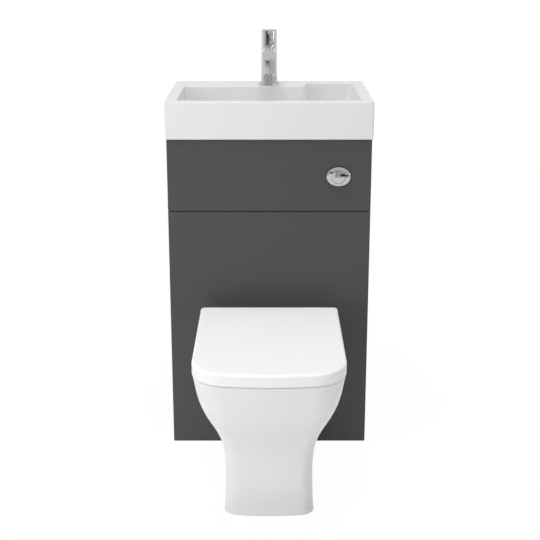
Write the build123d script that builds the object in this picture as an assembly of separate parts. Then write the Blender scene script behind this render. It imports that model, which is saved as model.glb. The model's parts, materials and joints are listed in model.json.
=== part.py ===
from build123d import *
from math import cos, radians, sin, sqrt, tan
import os

# A toilet and basin cabinet unit that stands on the floor against a wall.
# X runs to the right seen from the front, Y towards the wall, Z up.
# The origin is on the floor, under the middle of the whole unit. All sizes are in millimetres.
# A cut runs 1 mm past the face it opens.

# Driving sizes of the cabinet
cabinet_width = 500
cabinet_height = 805
cabinet_depth = 355
seam_from_top = 181
seam_gap = 2
top_gap = 1.5
side_board = 18
fascia_board = 16
rail_board = 18
rail_height = 58
board_edge = 0.8
rear_rail_height = 500
dowel_radius = 4
dowel_length = 30
dowel_bite = 12
dowel_play = 0.05
board_hole_play = 1
pipe_hole_play = 8
block_size = 22
block_length = 36
block_screw_in = 5
block_screw_up = 8
bracket_reach = 40
bracket_height = 40
bracket_steel = 1.5
bracket_from_top = 113
bracket_hole_radius = 2.75
bracket_hole_shift = 2
bracket_screw_edge = 10
screw_radius = 2
screw_head_radius = 4
screw_head = 2

# Driving sizes of the basin
basin_side_overhang = 3
basin_front_overhang = 5
basin_height = 92
basin_corner = 5
rim_side = 28
rim_front = 25
rim_rear = 31
bowl_depth = 75
bowl_draft = 9
bowl_corner = 14
bowl_floor_round = 9
deck_depth = 97
deck_right = 99
deck_corner = 25
bowl_wall = 9
skirt_wall = 14
deck_thickness = 15
waste_forward = 113
waste_hole_play = 0.5
waste_boss_radius = 36
basin_rim_edge = 2
bowl_rim_edge = 2.5
basin_low_edge = 1.5

# Driving sizes of the waste and trap
waste_flange_wall = 10
waste_flange_thickness = 3
waste_flange_edge = 1
waste_flange_play = 0.5
waste_tube_radius = 22
waste_tube_wall = 3
waste_tube_length = 88
plug_inset = 3
plug_thickness = 4
plug_stem_radius = 4
plug_lift = 8
plug_gap = 0.3
plug_edge = 2
plug_play = 0.1
spider_width = 6
spider_height = 4
thread_play = 0.05
backnut_wall = 9
backnut_thickness = 9
trap_clear = 11
trap_wall = 3
trap_collar_height = 16
trap_collar_wall = 5
trap_outlet_drop = 18
trap_body_drop = 41
trap_cup_height = 62
trap_cup_round = 8
trap_dip_radius = 16
trap_dip_clear = 22
trap_socket_length = 16
trap_socket_gap = 2
waste_pipe_radius = 18
waste_pipe_wall = 2
pipe_stop_gap = 0.5
pipe_stop_width = 3
pipe_stop_height = 2

# Driving sizes of the tap
tap_from_wall = 63
tap_hole_radius = 17.5
tap_ring_radius = 26.5
tap_ring_height = 6
tap_ring_edge = 2
tap_foot_radius = 21.5
tap_top_radius = 20.5
tap_body_top = 108
tap_floor = 9
water_way_radius = 13
cartridge_radius = 15.5
cartridge_depth = 32
cartridge_shoulder = 1
cartridge_neck_radius = 12.5
cartridge_neck_height = 6
cartridge_port_radius = 3
cartridge_port_spread = 7
cartridge_port_depth = 6
spout_radius = 16.5
spout_reach = 112
spout_height = 91.2
spout_face_angle = 25
spout_flat = 11
aerator_radius = 10.5
aerator_back = 28
aerator_wall = 2.5
aerator_shoulder = 2.5
aerator_bite = 4
aerator_edge = 0.8
mesh_bite = 0.2
mesh_rise = 3
mesh_thickness = 2
mesh_hole_radius = 1.2
mesh_hole_reach = 4.5
mesh_holes = 6
handle_height = 35
handle_gap = 1
handle_wall = 3.5
handle_roof = 12
handle_tilt = 20
handle_pivot = 13
handle_lug_radius = 4.5
stem_pin_radius = 2
pin_play = 0.05
blade_width = 6
blade_depth = 10
blade_play = 0.3
stem_gap = 0.1
stem_disc_radius = 8
stem_disc_height = 2
handle_lug_reach = 8
stem_pin_proud = 0.5
handle_edge = 1.5
lever_radius = 3.75
lever_length = 45
lever_rise = 10
lever_drop = 7
lever_bite = 8.8
lever_edge = 0.8
lever_end_gap = 0.2
mark_radius = 3.5
mark_height = 12
mark_depth = 1.1
mark_proud = 0.3
mark_play = 0.05
mark_hole_play = 0.1
tap_stud_radius = 4
tap_stud_back = 9
tap_stud_length = 52
tap_stud_bite = 6.5
tap_stud_end_gap = 0.5
clamp_radius = 23
clamp_thickness = 4
clamp_clear = 8
clamp_slot_inset = 3.5
clamp_slot_past = 2
clamp_nut_radius = 8
clamp_nut_height = 8
tail_radius = 5
tail_spread = 7.5
tail_forward = 5
tail_bend = 40
tail_bend_above = 25
tail_bend_below = 35
valve_spread = 60
valve_from_top = 83
valve_length = 50
valve_radius = 11
valve_nut_height = 13
valve_screw_radius = 4
supply_pipe_radius = 7.5
supply_socket = 16
supply_play = 0.1
valve_way_radius = 4
valve_end_wall = 1
valve_screw_depth = 7
valve_screw_proud = 1
valve_screw_wall = 2
valve_screw_play = 0.06
valve_slot_width = 1.2
valve_slot_depth = 1.5

# Driving sizes of the cistern
tank_width = 380
tank_depth = 150
tank_bottom = 370
tank_height = 230
tank_wall = 3.5
tank_corner = 15
tank_hole_play = 0.5
tank_lid = 8
tank_lid_edge = 2
lid_lip = 6
lid_lip_play = 0.5
lid_lip_wall = 3
flush_seat_radius = 36
flush_seat_height = 8
flush_hole_radius = 20
flush_tail_radius = 23
flush_tail_length = 26
tower_legs = 3
tower_leg_radius = 3.5
tower_height = 152
tower_plate = 6
air_chamber_radius = 15
air_chamber_clear = 2.5
air_chamber_wall = 2.5
air_chamber_floor = 2
nozzle_radius = 2.5
nozzle_length = 14
nozzle_spread = 8
plunger_radius = 27
plunger_seal = 4
plunger_stem_radius = 4
plunger_lift = 30
plunger_gap = 0.2
plunger_play = 0.3
plunger_cone_height = 16
plunger_cone_edge = 4
plunger_cone_top = 9
piston_play = 0.5
piston_height = 3
flush_pipe_radius = 20
flush_pipe_wall = 2
flush_bend = 40
flush_pipe_inset = 5
flush_pipe_end_gap = 8
flush_cone_length = 26
flush_cone_lip = 6
flush_cone_lip_height = 5
flush_inlet_height = 300
fill_valve_x = -155
fill_valve_radius = 13
fill_tail_radius = 10.45
fill_tail_length = 40
fill_tail_wall = 3
fill_groove_width = 2
fill_groove_depth = 0.8
fill_way_height = 60
fill_column_height = 158
fill_flange_out = 6
fill_flange_height = 5
fill_head_wall = 3
fill_head_height = 18
fill_head_overlap = 4
fill_nut_radius = 18
fill_nut_height = 8
float_pivot_height = 170
float_pivot_out = 9
float_arm = 56
float_arm_half = 3
float_hanger_radius = 4
float_radius = 21
float_height = 48
float_pin_radius = 2.5
float_ear_width = 16
float_ear_end = 5
float_ear_half = 6
float_ear_inset = 1
float_knuckle_width = 8
float_knuckle_radius = 5
float_side_play = 0.5
float_drop = 8
float_round = 5
float_wall = 2.5
tube_radius = 3.5
tube_end_gap = 3
tube_hole_play = 1
tube_first_run = 62
tube_rise = 48
tube_middle_side = 7
tube_middle_forward = 48
tube_middle_drop = 28
tube_spread = 8
tube_bends = [24, 28, 18]

# Driving sizes of the flush button
button_from_side = 80.5
button_from_top = 92
bezel_width = 61.4
bezel_height = 50.2
bezel_proud = 7
bezel_round = 4.5
housing_wall = 1.7
housing_length = 40
housing_floor = 3
button_nut_wall = 7
button_nut_height = 6
button_nut_grips = 8
button_nut_grip_radius = 2.5
full_radius = 17
button_thickness = 8
button_inset = 1
button_travel = 6
lens_width = 10
lens_height = 23
lens_offset = 9.5
button_play = 0.3
full_stem_offset = -7
full_stem_radius = 2.5
half_stem_radius = 1.5
spring_wire = 0.6
spring_turns = 7
full_spring_radius = 4.2
half_spring_radius = 3
button_edge = 0.5
button_stem_gap = 1

# Driving sizes of the pan
rim_height = 367
pan_half_width = 166.8
pan_reach = 474
foot_half_width = 103
foot_reach = 366
pan_nose_depth = 83.5
pan_nose_corner = 77
foot_nose_depth = 37
foot_nose_corner = 33
pan_wall = 12
pan_deck = 14
pan_rim_edge = 2.5
bowl_half_width = 124
bowl_front_rim = 42
bowl_length = 275
bowl_side_depth = 45
sump_back = 36
sump_height = 75
sump_radius = 50
glaze_wall = 10
trap_way_radius = 26
trap_way_height = 105
trap_way_low_run = 62
trap_way_rise_run = 105
trap_way_fall_run = 58
trap_way_bend = 37.5
weir_height = 222
outlet_height = 180
outlet_radius = 51
outlet_wall = 7
outlet_bore_depth = 20
outlet_length = 60
inlet_radius = 27.5
inlet_depth = 40
inlet_jet_radius = 21
inlet_jet_length = 165
side_screw_height = 35
side_screw_inset = 90
side_screw_radius = 4
side_screw_length = 34
side_screw_play = 0.3
side_screw_head = 7.5
side_screw_head_height = 4
screw_cap_radius = 9.3
screw_cap_play = 0.2
screw_cap_depth = 9
screw_cap_edge = 1.2
bolt_hole_play = 2
floor_bracket_width = 30
floor_bracket_steel = 3
floor_bracket_reach = 36
floor_bracket_gap = 6
soil_pipe_radius = 55
soil_sleeve_wall = 8
soil_sleeve_end = 20
soil_seal_gap = 4
soil_pipe_wall = 6

# Driving sizes of the seat and lid
lid_width = 336
lid_reach = 478
lid_rear_gap = 65
lid_height = 28
lid_roof = 4
lid_skirt = 4.5
lid_round = 6
lid_rear_corner = 10
lid_rear_rise = 6
lid_rear_cut = 3
nose_depth = 85.5
nose_corner = 79
lid_gap = 3
seat_play = 2.5
seat_lift_off = 4
seat_thickness = 15
seat_ring = 56
seat_rear_gap = 15
seat_rear_ring = 46
opening_nose_depth = 78
opening_nose_corner = 72
opening_rear_corner = 60
seat_edge = 4
hinge_rise = 17
hinge_from_lid_rear = 14
hinge_spread = 77.5
hinge_post_width = 20
hinge_wall = 3
hinge_pin_radius = 3.5
hinge_pin_proud = 1
hinge_play = 0.06
press_play = 0.02
lug_width = 10
lug_gap = 1.5
lug_web = 5
seat_web_drop = 0.5
hinge_base_radius = 17
hinge_base_height = 3
hinge_base_rear = 0.5
hinge_bolt_radius = 5
hinge_bolt_length = 42
hinge_bolt_bite = 5
hinge_bolt_end_gap = 0.5
hinge_nut_radius = 11
hinge_nut_height = 12
buffer_radius = 8
buffer_gap = 0.2
buffer_front = 70
buffer_rear = 290
buffer_inset = 34
buffer_front_inset = 22

# Places worked out from the driving sizes
wall_y = (lid_reach + cabinet_depth) / 2
front_y = wall_y - cabinet_depth
board_y = front_y + fascia_board
half_inside = cabinet_width / 2 - side_board
seam_height = cabinet_height - seam_from_top
bracket_height_at = cabinet_height - bracket_from_top
basin_width = cabinet_width + 2 * basin_side_overhang
basin_front_y = front_y - basin_front_overhang
basin_top = cabinet_height + basin_height
bowl_floor = basin_top - bowl_depth
waste_y = wall_y - deck_depth - waste_forward
waste_hole_radius = waste_tube_radius + waste_hole_play
waste_flange_radius = waste_tube_radius + waste_flange_wall
plug_radius = waste_flange_radius - plug_inset
backnut_radius = waste_tube_radius + backnut_wall
trap_radius = waste_tube_radius + trap_clear
tap_y = wall_y - tap_from_wall
tap_body_z = basin_top + tap_ring_height
tap_top = basin_top + tap_body_top
spout_z = basin_top + spout_height
handle_z = tap_top + handle_gap
pivot_z = tap_top + handle_pivot
handle_top = handle_z + handle_height
valve_y = tap_y
valve_top = cabinet_height - valve_from_top
tank_rear_y = wall_y - rail_board
tank_y = tank_rear_y - tank_depth / 2
tank_floor = tank_bottom + tank_wall
tank_top = tank_bottom + tank_height
flush_seat_top = tank_floor + flush_seat_height
tower_top = tank_floor + tower_height
piston_top = tower_top + tower_plate + piston_height + plunger_lift
chamber_top = piston_top + air_chamber_clear + air_chamber_wall
float_pivot_x = fill_valve_x + fill_valve_radius + float_pivot_out
float_pivot_z = tank_floor + float_pivot_height
button_x = cabinet_width / 2 - button_from_side
button_height = cabinet_height - button_from_top
housing_bore = full_radius + button_play
housing_radius = housing_bore + housing_wall
button_face_y = front_y - bezel_proud + button_inset
button_back_y = button_face_y + button_thickness
button_stem_y = front_y + housing_length - housing_floor - button_travel - button_stem_gap
waste_tube_bottom = bowl_floor - waste_tube_length
trap_low = waste_tube_bottom - trap_body_drop
trap_outlet_z = waste_tube_bottom - trap_outlet_drop
trap_socket_start = waste_y + trap_radius + trap_socket_gap
lid_rear_y = front_y - lid_rear_gap
hinge_y = lid_rear_y - hinge_from_lid_rear
side_screw_y = front_y - side_screw_inset
screw_seat_x = foot_half_width - screw_cap_depth
soil_pipe_start = front_y + outlet_length + soil_sleeve_end
outlet_bore = outlet_radius - outlet_wall
hinge_radius = hinge_pin_radius + hinge_wall
hinge_z = rim_height + hinge_rise
lid_bottom = rim_height + lid_gap
lid_top = lid_bottom + lid_height
seat_bottom = rim_height + seat_lift_off
seat_top = seat_bottom + seat_thickness
lid_front_y = front_y - lid_reach
lid_ceiling = lid_top - lid_roof
seat_rear_y = hinge_y - seat_rear_gap


def block(x0, x1, y0, y1, z0, z1):
    centre = Pos((x0 + x1) / 2, (y0 + y1) / 2, (z0 + z1) / 2)
    return centre * Box(abs(x1 - x0), abs(y1 - y0), abs(z1 - z0))


def rod_x(radius, x0, x1, y, z):
    return Pos((x0 + x1) / 2, y, z) * Rot(0, 90, 0) * Cylinder(radius, abs(x1 - x0))


def rod_y(radius, y0, y1, x, z):
    return Pos(x, (y0 + y1) / 2, z) * Rot(90, 0, 0) * Cylinder(radius, abs(y1 - y0))


def rod_z(radius, z0, z1, x, y):
    return Pos(x, y, (z0 + z1) / 2) * Cylinder(radius, abs(z1 - z0))


def group(shapes):
    return Compound([solid for shape in shapes for solid in shape.solids()])


def mirror_pair(shape):
    return [shape, mirror(shape, about=Plane.YZ)]


def softened(shape, size):
    return chamfer(shape.edges(), size)


# A plan outline with straight sides and a nose of three tangent arcs, open to the rear at rear_y.
def nose_outline(half_width, rear_y, nose_y, depth, corner):
    side_end_y = nose_y + depth
    across = half_width - corner
    sweep_radius = (across**2 + depth**2 - corner**2) / (2 * (depth - corner))
    centre_y = nose_y + sweep_radius
    reach = sweep_radius - corner
    toward_x = across / reach
    toward_y = (side_end_y - centre_y) / reach
    join_x = across + corner * toward_x
    join_y = side_end_y + corner * toward_y
    middle_length = sqrt((1 + toward_x) ** 2 + toward_y**2)
    middle_x = across + corner * (1 + toward_x) / middle_length
    middle_y = side_end_y + corner * toward_y / middle_length
    edges = [
        Line((-half_width, rear_y), (-half_width, side_end_y)),
        ThreePointArc((-half_width, side_end_y), (-middle_x, middle_y), (-join_x, join_y)),
        ThreePointArc((-join_x, join_y), (0, nose_y), (join_x, join_y)),
        ThreePointArc((join_x, join_y), (middle_x, middle_y), (half_width, side_end_y)),
        Line((half_width, side_end_y), (half_width, rear_y)),
        Line((half_width, rear_y), (-half_width, rear_y)),
    ]
    return make_face(edges)


# Cabinet boards

def side_panel(side):
    inner = side * half_inside
    outer = side * cabinet_width / 2
    panel = block(inner, outer, board_y, wall_y, 0, cabinet_height)
    panel = softened(panel, board_edge)
    return panel - group(dowel_places(dowel_radius))


def dowel_places(radius):
    length_out = dowel_length - dowel_bite
    dowels = []
    for y, z in dowel_spots():
        rod = rod_x(radius, half_inside - length_out, half_inside + dowel_bite, y, z)
        dowels += mirror_pair(rod)
    return dowels


def dowel_spots():
    front = board_y + rail_board / 2
    rear = wall_y - rail_board / 2
    middles = [
        (front, cabinet_height - rail_height / 2),
        (front, seam_height),
        (rear, cabinet_height - rail_height / 2),
        (rear, rear_rail_height),
    ]
    offset = rail_height / 4
    return [(y, z + step) for y, z in middles for step in (-offset, offset)]


def rail(y0, middle_z):
    low = middle_z - rail_height / 2
    high = middle_z + rail_height / 2
    board = block(-half_inside, half_inside, y0, y0 + rail_board, low, high)
    board = softened(board, board_edge)
    return board - group(dowel_places(dowel_radius))


def front_top_rail():
    return rail(board_y, cabinet_height - rail_height / 2)


def fascia_rail():
    return rail(board_y, seam_height)


def rear_rails():
    rear = wall_y - rail_board
    return group([rail(rear, cabinet_height - rail_height / 2), rail(rear, rear_rail_height)])


def fascia(low, high):
    half = cabinet_width / 2
    return softened(block(-half, half, front_y, board_y, low, high), board_edge)


def upper_fascia():
    panel = fascia(seam_height + seam_gap / 2, cabinet_height - top_gap)
    hole = housing_radius + board_hole_play
    return panel - rod_y(hole, front_y - 1, board_y + 1, button_x, button_height)


def lower_fascia():
    panel = fascia(0, seam_height - seam_gap / 2)
    outlet_hole = outlet_radius + pipe_hole_play
    inlet_hole = inlet_radius + pipe_hole_play
    panel -= rod_y(outlet_hole, front_y - 1, board_y + 1, 0, outlet_height)
    return panel - rod_y(inlet_hole, front_y - 1, board_y + 1, 0, flush_inlet_height)


def corner_blocks():
    lower_gap = (seam_height - rail_height / 2) / 4
    heights = [lower_gap, 2 * lower_gap, 3 * lower_gap]
    heights.append(seam_height + (cabinet_height - seam_height) / 2)
    blocks = []
    for z in heights:
        inner = half_inside - block_size
        low = z - block_length / 2
        high = z + block_length / 2
        body = block(inner, half_inside, board_y, board_y + block_size, low, high)
        front_edge = body.edges().filter_by(Axis.Z).sort_by(Axis.X)[:2].sort_by(Axis.Y)[-1]
        body = chamfer(front_edge, block_size / 2)
        screw_x = inner + block_screw_in
        body -= rod_y(screw_radius, board_y, board_y + block_size, screw_x, z + block_screw_up)
        blocks += mirror_pair(body)
    return group(blocks)


def wall_brackets():
    low = bracket_height_at
    high = low + bracket_height
    side = block(half_inside - bracket_steel, half_inside, wall_y - bracket_reach, wall_y, low, high)
    back = block(half_inside - bracket_reach, half_inside, wall_y - bracket_steel, wall_y, low, high)
    hole_x = half_inside - bracket_reach / 2 - bracket_hole_shift
    hole_z = low + bracket_height / 2
    bracket = side + back
    bracket -= rod_y(bracket_hole_radius, wall_y - bracket_steel - 1, wall_y + 1, hole_x, hole_z)
    for z in bracket_screw_heights():
        y = wall_y - bracket_reach + bracket_screw_edge
        bracket -= rod_x(screw_radius, half_inside - bracket_steel - 1, half_inside, y, z)
    return group(mirror_pair(bracket))


def bracket_screw_heights():
    low = bracket_height_at + bracket_screw_edge
    return [low, bracket_height_at + bracket_height - bracket_screw_edge]


def bracket_screws():
    screws = []
    face = half_inside - bracket_steel
    for z in bracket_screw_heights():
        y = wall_y - bracket_reach + bracket_screw_edge
        head = rod_x(screw_head_radius, face - screw_head, face, y, z)
        shank = rod_x(screw_radius, face, half_inside, y, z)
        screws += mirror_pair(head + shank)
    return group(screws)


# Basin

def bowl_outline(inset, corner):
    left = -basin_width / 2 + rim_side + inset
    right = basin_width / 2 - rim_side - inset
    front = basin_front_y + rim_front + inset
    rear = wall_y - rim_rear - inset
    deck_front = wall_y - deck_depth - inset
    deck_side = deck_right + inset
    points = [
        (left, front),
        (right, front),
        (right, rear),
        (deck_side, rear),
        (deck_side, deck_front),
        (left, deck_front),
    ]
    face = make_face(Polyline(points, close=True))
    outer = face.vertices().sort_by_distance((deck_side, deck_front, 0))
    face = fillet(outer[1:], corner)
    inner = face.vertices().sort_by_distance((deck_side, deck_front, 0))[0]
    return fillet(inner, deck_corner)


def bowl_solid(grow, low, high):
    slope = bowl_draft / bowl_depth
    bottom = bowl_outline(slope * (basin_top - low) - grow, bowl_corner)
    top = bowl_outline(slope * (basin_top - high) - grow, bowl_corner)
    return loft([Pos(0, 0, low) * bottom, Pos(0, 0, high) * top], ruled=True)


def basin():
    half = basin_width / 2
    body = block(-half, half, basin_front_y, wall_y, cabinet_height, basin_top)
    uprights = body.edges().filter_by(Axis.Z).sort_by(Axis.Y)[:2]
    body = fillet(uprights, basin_corner)
    top = body.faces().sort_by(Axis.Z)[-1].edges().sort_by(Axis.Y)[:-1]
    body = fillet(top, basin_rim_edge)
    body = chamfer(body.faces().sort_by(Axis.Z)[0].edges(), basin_low_edge)
    bowl = bowl_solid(0, bowl_floor, basin_top + 1)
    bowl = fillet(bowl.faces().sort_by(Axis.Z)[0].edges(), bowl_floor_round)
    inner = half - skirt_wall
    under = block(-inner, inner, basin_front_y + skirt_wall, wall_y - skirt_wall,
                  cabinet_height - 1, basin_top - deck_thickness)
    under -= bowl_solid(bowl_wall, bowl_floor - bowl_wall, basin_top)
    under -= rod_z(waste_boss_radius, cabinet_height - 1, basin_top, 0, waste_y)
    body -= bowl
    rim = body.faces().sort_by(Axis.Z)[-1].inner_wires()[0].edges()
    body = fillet(rim, bowl_rim_edge)
    body -= under
    body -= rod_z(tap_hole_radius, cabinet_height, basin_top + 1, 0, tap_y)
    body -= rod_z(waste_hole_radius, cabinet_height - 1, basin_top, 0, waste_y)
    recess = waste_flange_radius + waste_flange_play
    return body - rod_z(recess, bowl_floor - waste_flange_thickness, basin_top, 0, waste_y)


# Waste and trap

def waste_body():
    low = bowl_floor - waste_tube_length
    seat = bowl_floor - waste_flange_thickness
    flange = rod_z(waste_flange_radius, seat, bowl_floor, 0, waste_y)
    flange = chamfer(flange.edges().group_by(Axis.Z)[-1], waste_flange_edge)
    body = flange + rod_z(waste_tube_radius, low, seat, 0, waste_y)
    inner = waste_tube_radius - waste_tube_wall
    body -= rod_z(inner, low - 1, bowl_floor + 1, 0, waste_y)
    spider_top = bowl_floor - waste_tube_length / 2
    spider_low = spider_top - spider_height
    half = spider_width / 2
    spider = block(-inner - 1, inner + 1, waste_y - half, waste_y + half, spider_low, spider_top)
    spider += rod_z(plug_stem_radius + half, spider_low, spider_top, 0, waste_y)
    body += spider
    return body - rod_z(plug_stem_radius + plug_play, low, bowl_floor, 0, waste_y)


def waste_plug():
    low = bowl_floor + plug_gap
    disc = rod_z(plug_radius, low, low + plug_thickness, 0, waste_y)
    disc = fillet(disc.edges().group_by(Axis.Z)[-1], plug_edge)
    stem_low = bowl_floor - waste_tube_length / 2 - spider_height - plug_lift
    return disc + rod_z(plug_stem_radius, stem_low, low, 0, waste_y)


def waste_backnut():
    high = cabinet_height
    low = high - backnut_thickness
    nut = extrude(Pos(0, waste_y, low) * RegularPolygon(backnut_radius, 8), backnut_thickness)
    return nut - rod_z(waste_tube_radius + thread_play, low - 1, high + 1, 0, waste_y)


def trap_body():
    roof = waste_tube_bottom + trap_wall
    inner = trap_radius - trap_wall
    outlet_end = trap_socket_start + trap_socket_length
    socket_radius = waste_pipe_radius + trap_wall
    socket_side = sqrt(trap_radius**2 - socket_radius**2)
    body = rod_z(trap_radius, trap_low, roof, 0, waste_y)
    body += rod_y(socket_radius, waste_y + socket_side - 1, outlet_end, 0, trap_outlet_z)
    body -= rod_z(inner, trap_low - 1, waste_tube_bottom - 1, 0, waste_y)
    collar_radius = waste_tube_radius + trap_collar_wall
    body += rod_z(collar_radius, roof, waste_tube_bottom + trap_collar_height, 0, waste_y)
    dip_low = trap_low - trap_cup_height + trap_dip_clear
    body += rod_z(trap_dip_radius, dip_low, waste_tube_bottom, 0, waste_y)
    way = waste_pipe_radius - waste_pipe_wall
    way_side = sqrt(inner**2 - way**2)
    body -= rod_y(way, waste_y + way_side - 1, outlet_end + 1, 0, trap_outlet_z)
    body -= rod_y(waste_pipe_radius + thread_play, trap_socket_start, outlet_end + 1, 0, trap_outlet_z)
    body -= rod_z(waste_tube_radius + thread_play, waste_tube_bottom, cabinet_height, 0, waste_y)
    return body - rod_z(trap_dip_radius - trap_wall, dip_low - 1, cabinet_height, 0, waste_y)


def trap_cup():
    low = trap_low - trap_cup_height
    cup = rod_z(trap_radius, low, trap_low, 0, waste_y)
    cup = fillet(cup.edges().group_by(Axis.Z)[0], trap_cup_round)
    return cup - rod_z(trap_radius - trap_wall, low + trap_wall, trap_low + 1, 0, waste_y)


def waste_pipe():
    start = trap_socket_start
    stop = start + trap_socket_length + pipe_stop_gap
    pipe = rod_y(waste_pipe_radius, start, wall_y, 0, trap_outlet_z)
    stop_radius = waste_pipe_radius + pipe_stop_height
    pipe += rod_y(stop_radius, stop, stop + pipe_stop_width, 0, trap_outlet_z)
    way = waste_pipe_radius - waste_pipe_wall
    return pipe - rod_y(way, start - 1, wall_y + 1, 0, trap_outlet_z)


# Tap

def tap_base_ring():
    ring = rod_z(tap_ring_radius, basin_top, tap_body_z, 0, tap_y)
    ring = fillet(ring.edges().group_by(Axis.Z)[-1], tap_ring_edge)
    return ring - rod_z(tap_hole_radius, basin_top - 1, tap_body_z + 1, 0, tap_y)


def tap_body():
    height = tap_top - tap_body_z
    column = Pos(0, tap_y, tap_body_z + height / 2) * Cone(tap_foot_radius, tap_top_radius, height)
    end_y = tap_y - spout_reach
    spout = rod_y(spout_radius, end_y, tap_y, 0, spout_z)
    wedge_top = (end_y, spout_z + spout_radius)
    slope = 2 * spout_radius * tan(radians(spout_face_angle))
    cut = make_face(Polyline(
        [wedge_top, (end_y + slope, spout_z - spout_radius),
         (end_y - 1, spout_z - spout_radius - 1), (end_y - 1, spout_z + spout_radius)], close=True))
    cut = extrude(Plane.YZ * cut, spout_radius + 1, both=True)
    flat_low = spout_z - spout_flat
    flat_end = end_y + aerator_back + aerator_radius + aerator_shoulder
    flat = block(-spout_radius - 1, spout_radius + 1, end_y - 1, flat_end,
                 spout_z - spout_radius - 1, flat_low)
    body = column + (spout - cut - flat)
    body -= rod_z(water_way_radius, tap_body_z + tap_floor, tap_top, 0, tap_y)
    body -= rod_z(cartridge_radius, tap_top - cartridge_depth, tap_top + 1, 0, tap_y)
    aerator_y = end_y + aerator_back
    body -= rod_y(aerator_radius - aerator_wall, aerator_y, tap_y, 0, spout_z)
    body -= rod_z(aerator_radius - aerator_wall, flat_low - 1, spout_z, 0, aerator_y)
    body -= rod_z(aerator_radius + thread_play, flat_low - 1, flat_low + aerator_bite, 0, aerator_y)
    for x in (-tail_spread, tail_spread):
        body -= rod_z(tail_radius, tap_body_z - 1, tap_body_z + tap_floor + 1, x, tap_y - tail_forward)
    stud_hole_top = tap_body_z + tap_stud_bite + tap_stud_end_gap
    return body - rod_z(tap_stud_radius, tap_body_z - 1, stud_hole_top, 0, tap_y + tap_stud_back)


def aerator():
    y = tap_y - spout_reach + aerator_back
    low = spout_z - spout_radius
    ring = rod_z(aerator_radius, low, spout_z - spout_flat + aerator_bite, 0, y)
    ring = chamfer(ring.edges().group_by(Axis.Z)[0], aerator_edge)
    ring -= rod_z(aerator_radius - aerator_wall, low - 1, spout_z, 0, y)
    mesh_z = low + mesh_rise
    mesh_top = mesh_z + mesh_thickness
    disc = rod_z(aerator_radius - aerator_wall + mesh_bite, mesh_z, mesh_top, 0, y)
    for step in range(mesh_holes):
        angle = radians(360 * step / mesh_holes)
        hole_x = mesh_hole_reach * cos(angle)
        hole_y = y + mesh_hole_reach * sin(angle)
        disc -= rod_z(mesh_hole_radius, mesh_z - 1, mesh_top + 1, hole_x, hole_y)
    return ring + disc


def cartridge():
    low = tap_top - cartridge_depth
    shoulder = tap_top - cartridge_shoulder
    body = rod_z(cartridge_radius - thread_play, low, shoulder, 0, tap_y)
    body += rod_z(cartridge_neck_radius, shoulder, tap_top + cartridge_neck_height, 0, tap_y)
    for x in (-cartridge_port_spread, cartridge_port_spread):
        body -= rod_z(cartridge_port_radius, low - 1, low + cartridge_port_depth, x, tap_y)
    return body


def turning_stem():
    low = tap_top + cartridge_neck_height + stem_gap
    disc = rod_z(stem_disc_radius, low, low + stem_disc_height, 0, tap_y)
    half_x = blade_width / 2
    half_y = blade_depth / 2
    blade = block(-half_x, half_x, tap_y - half_y, tap_y + half_y, low, pivot_z + half_y)
    reach = handle_lug_reach + stem_pin_proud
    return disc + blade + rod_x(stem_pin_radius, -reach, reach, tap_y, pivot_z)


def handle_slice():
    slope = tan(radians(handle_tilt + 1))
    rear = 2 * tap_top_radius
    low = handle_z - 1
    points = [(tap_y, low), (tap_y, handle_z), (tap_y + rear, handle_z + rear * slope),
              (tap_y + rear, low)]
    wedge = make_face(Polyline(points, close=True))
    return extrude(Plane.YZ * wedge, tap_top_radius + 1, both=True)


def lever_place():
    rise = radians(lever_rise)
    direction = Vector(0, -cos(rise), sin(rise))
    surface = Vector(0, tap_y - tap_top_radius, handle_top - lever_drop)
    return surface, direction


def lever_rod(radius, inside, outside):
    surface, direction = lever_place()
    start = surface - direction * inside
    plane = Plane(origin=start, z_dir=direction)
    return plane * Pos(0, 0, (inside + outside) / 2) * Cylinder(radius, inside + outside)


def tap_handle():
    cap = rod_z(tap_top_radius, handle_z, handle_top, 0, tap_y)
    cap = fillet(cap.edges().group_by(Axis.Z)[-1], handle_edge)
    ceiling = handle_top - handle_roof
    cavity = rod_z(tap_top_radius - handle_wall, handle_z - 1, ceiling, 0, tap_y)
    cap -= cavity
    for side in (-1, 1):
        near = side * (blade_width / 2 + blade_play)
        far = side * handle_lug_reach
        cap += rod_x(handle_lug_radius, near, far, tap_y, pivot_z)
        cap += block(near, far, tap_y - handle_lug_radius, tap_y + handle_lug_radius,
                     pivot_z, ceiling)
    pin_reach = handle_lug_reach + 1
    cap -= rod_x(stem_pin_radius + pin_play, -pin_reach, pin_reach, tap_y, pivot_z)
    cap -= handle_slice()
    cap -= lever_rod(lever_radius + thread_play, lever_bite + lever_end_gap, lever_radius + 1)
    recess_y = tap_y - tap_top_radius
    mark_z = tap_top + mark_height
    recess_end = recess_y + mark_depth + mark_hole_play
    return cap - rod_y(mark_radius + mark_hole_play, recess_y - 1, recess_end, 0, mark_z)


def tap_lever():
    rod = lever_rod(lever_radius, lever_bite, lever_length)
    tip = rod.edges().filter_by(GeomType.CIRCLE).sort_by(Axis.Y)[0]
    return chamfer(tip, lever_edge)


def mark(side):
    y = tap_y - tap_top_radius
    z = tap_top + mark_height
    disc = rod_y(mark_radius, y - mark_proud, y + mark_depth, 0, z)
    reach = mark_radius + 1
    half_disc = block(side * mark_play, side * reach, y - reach, y + reach, z - reach, z + reach)
    return disc & half_disc


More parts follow.
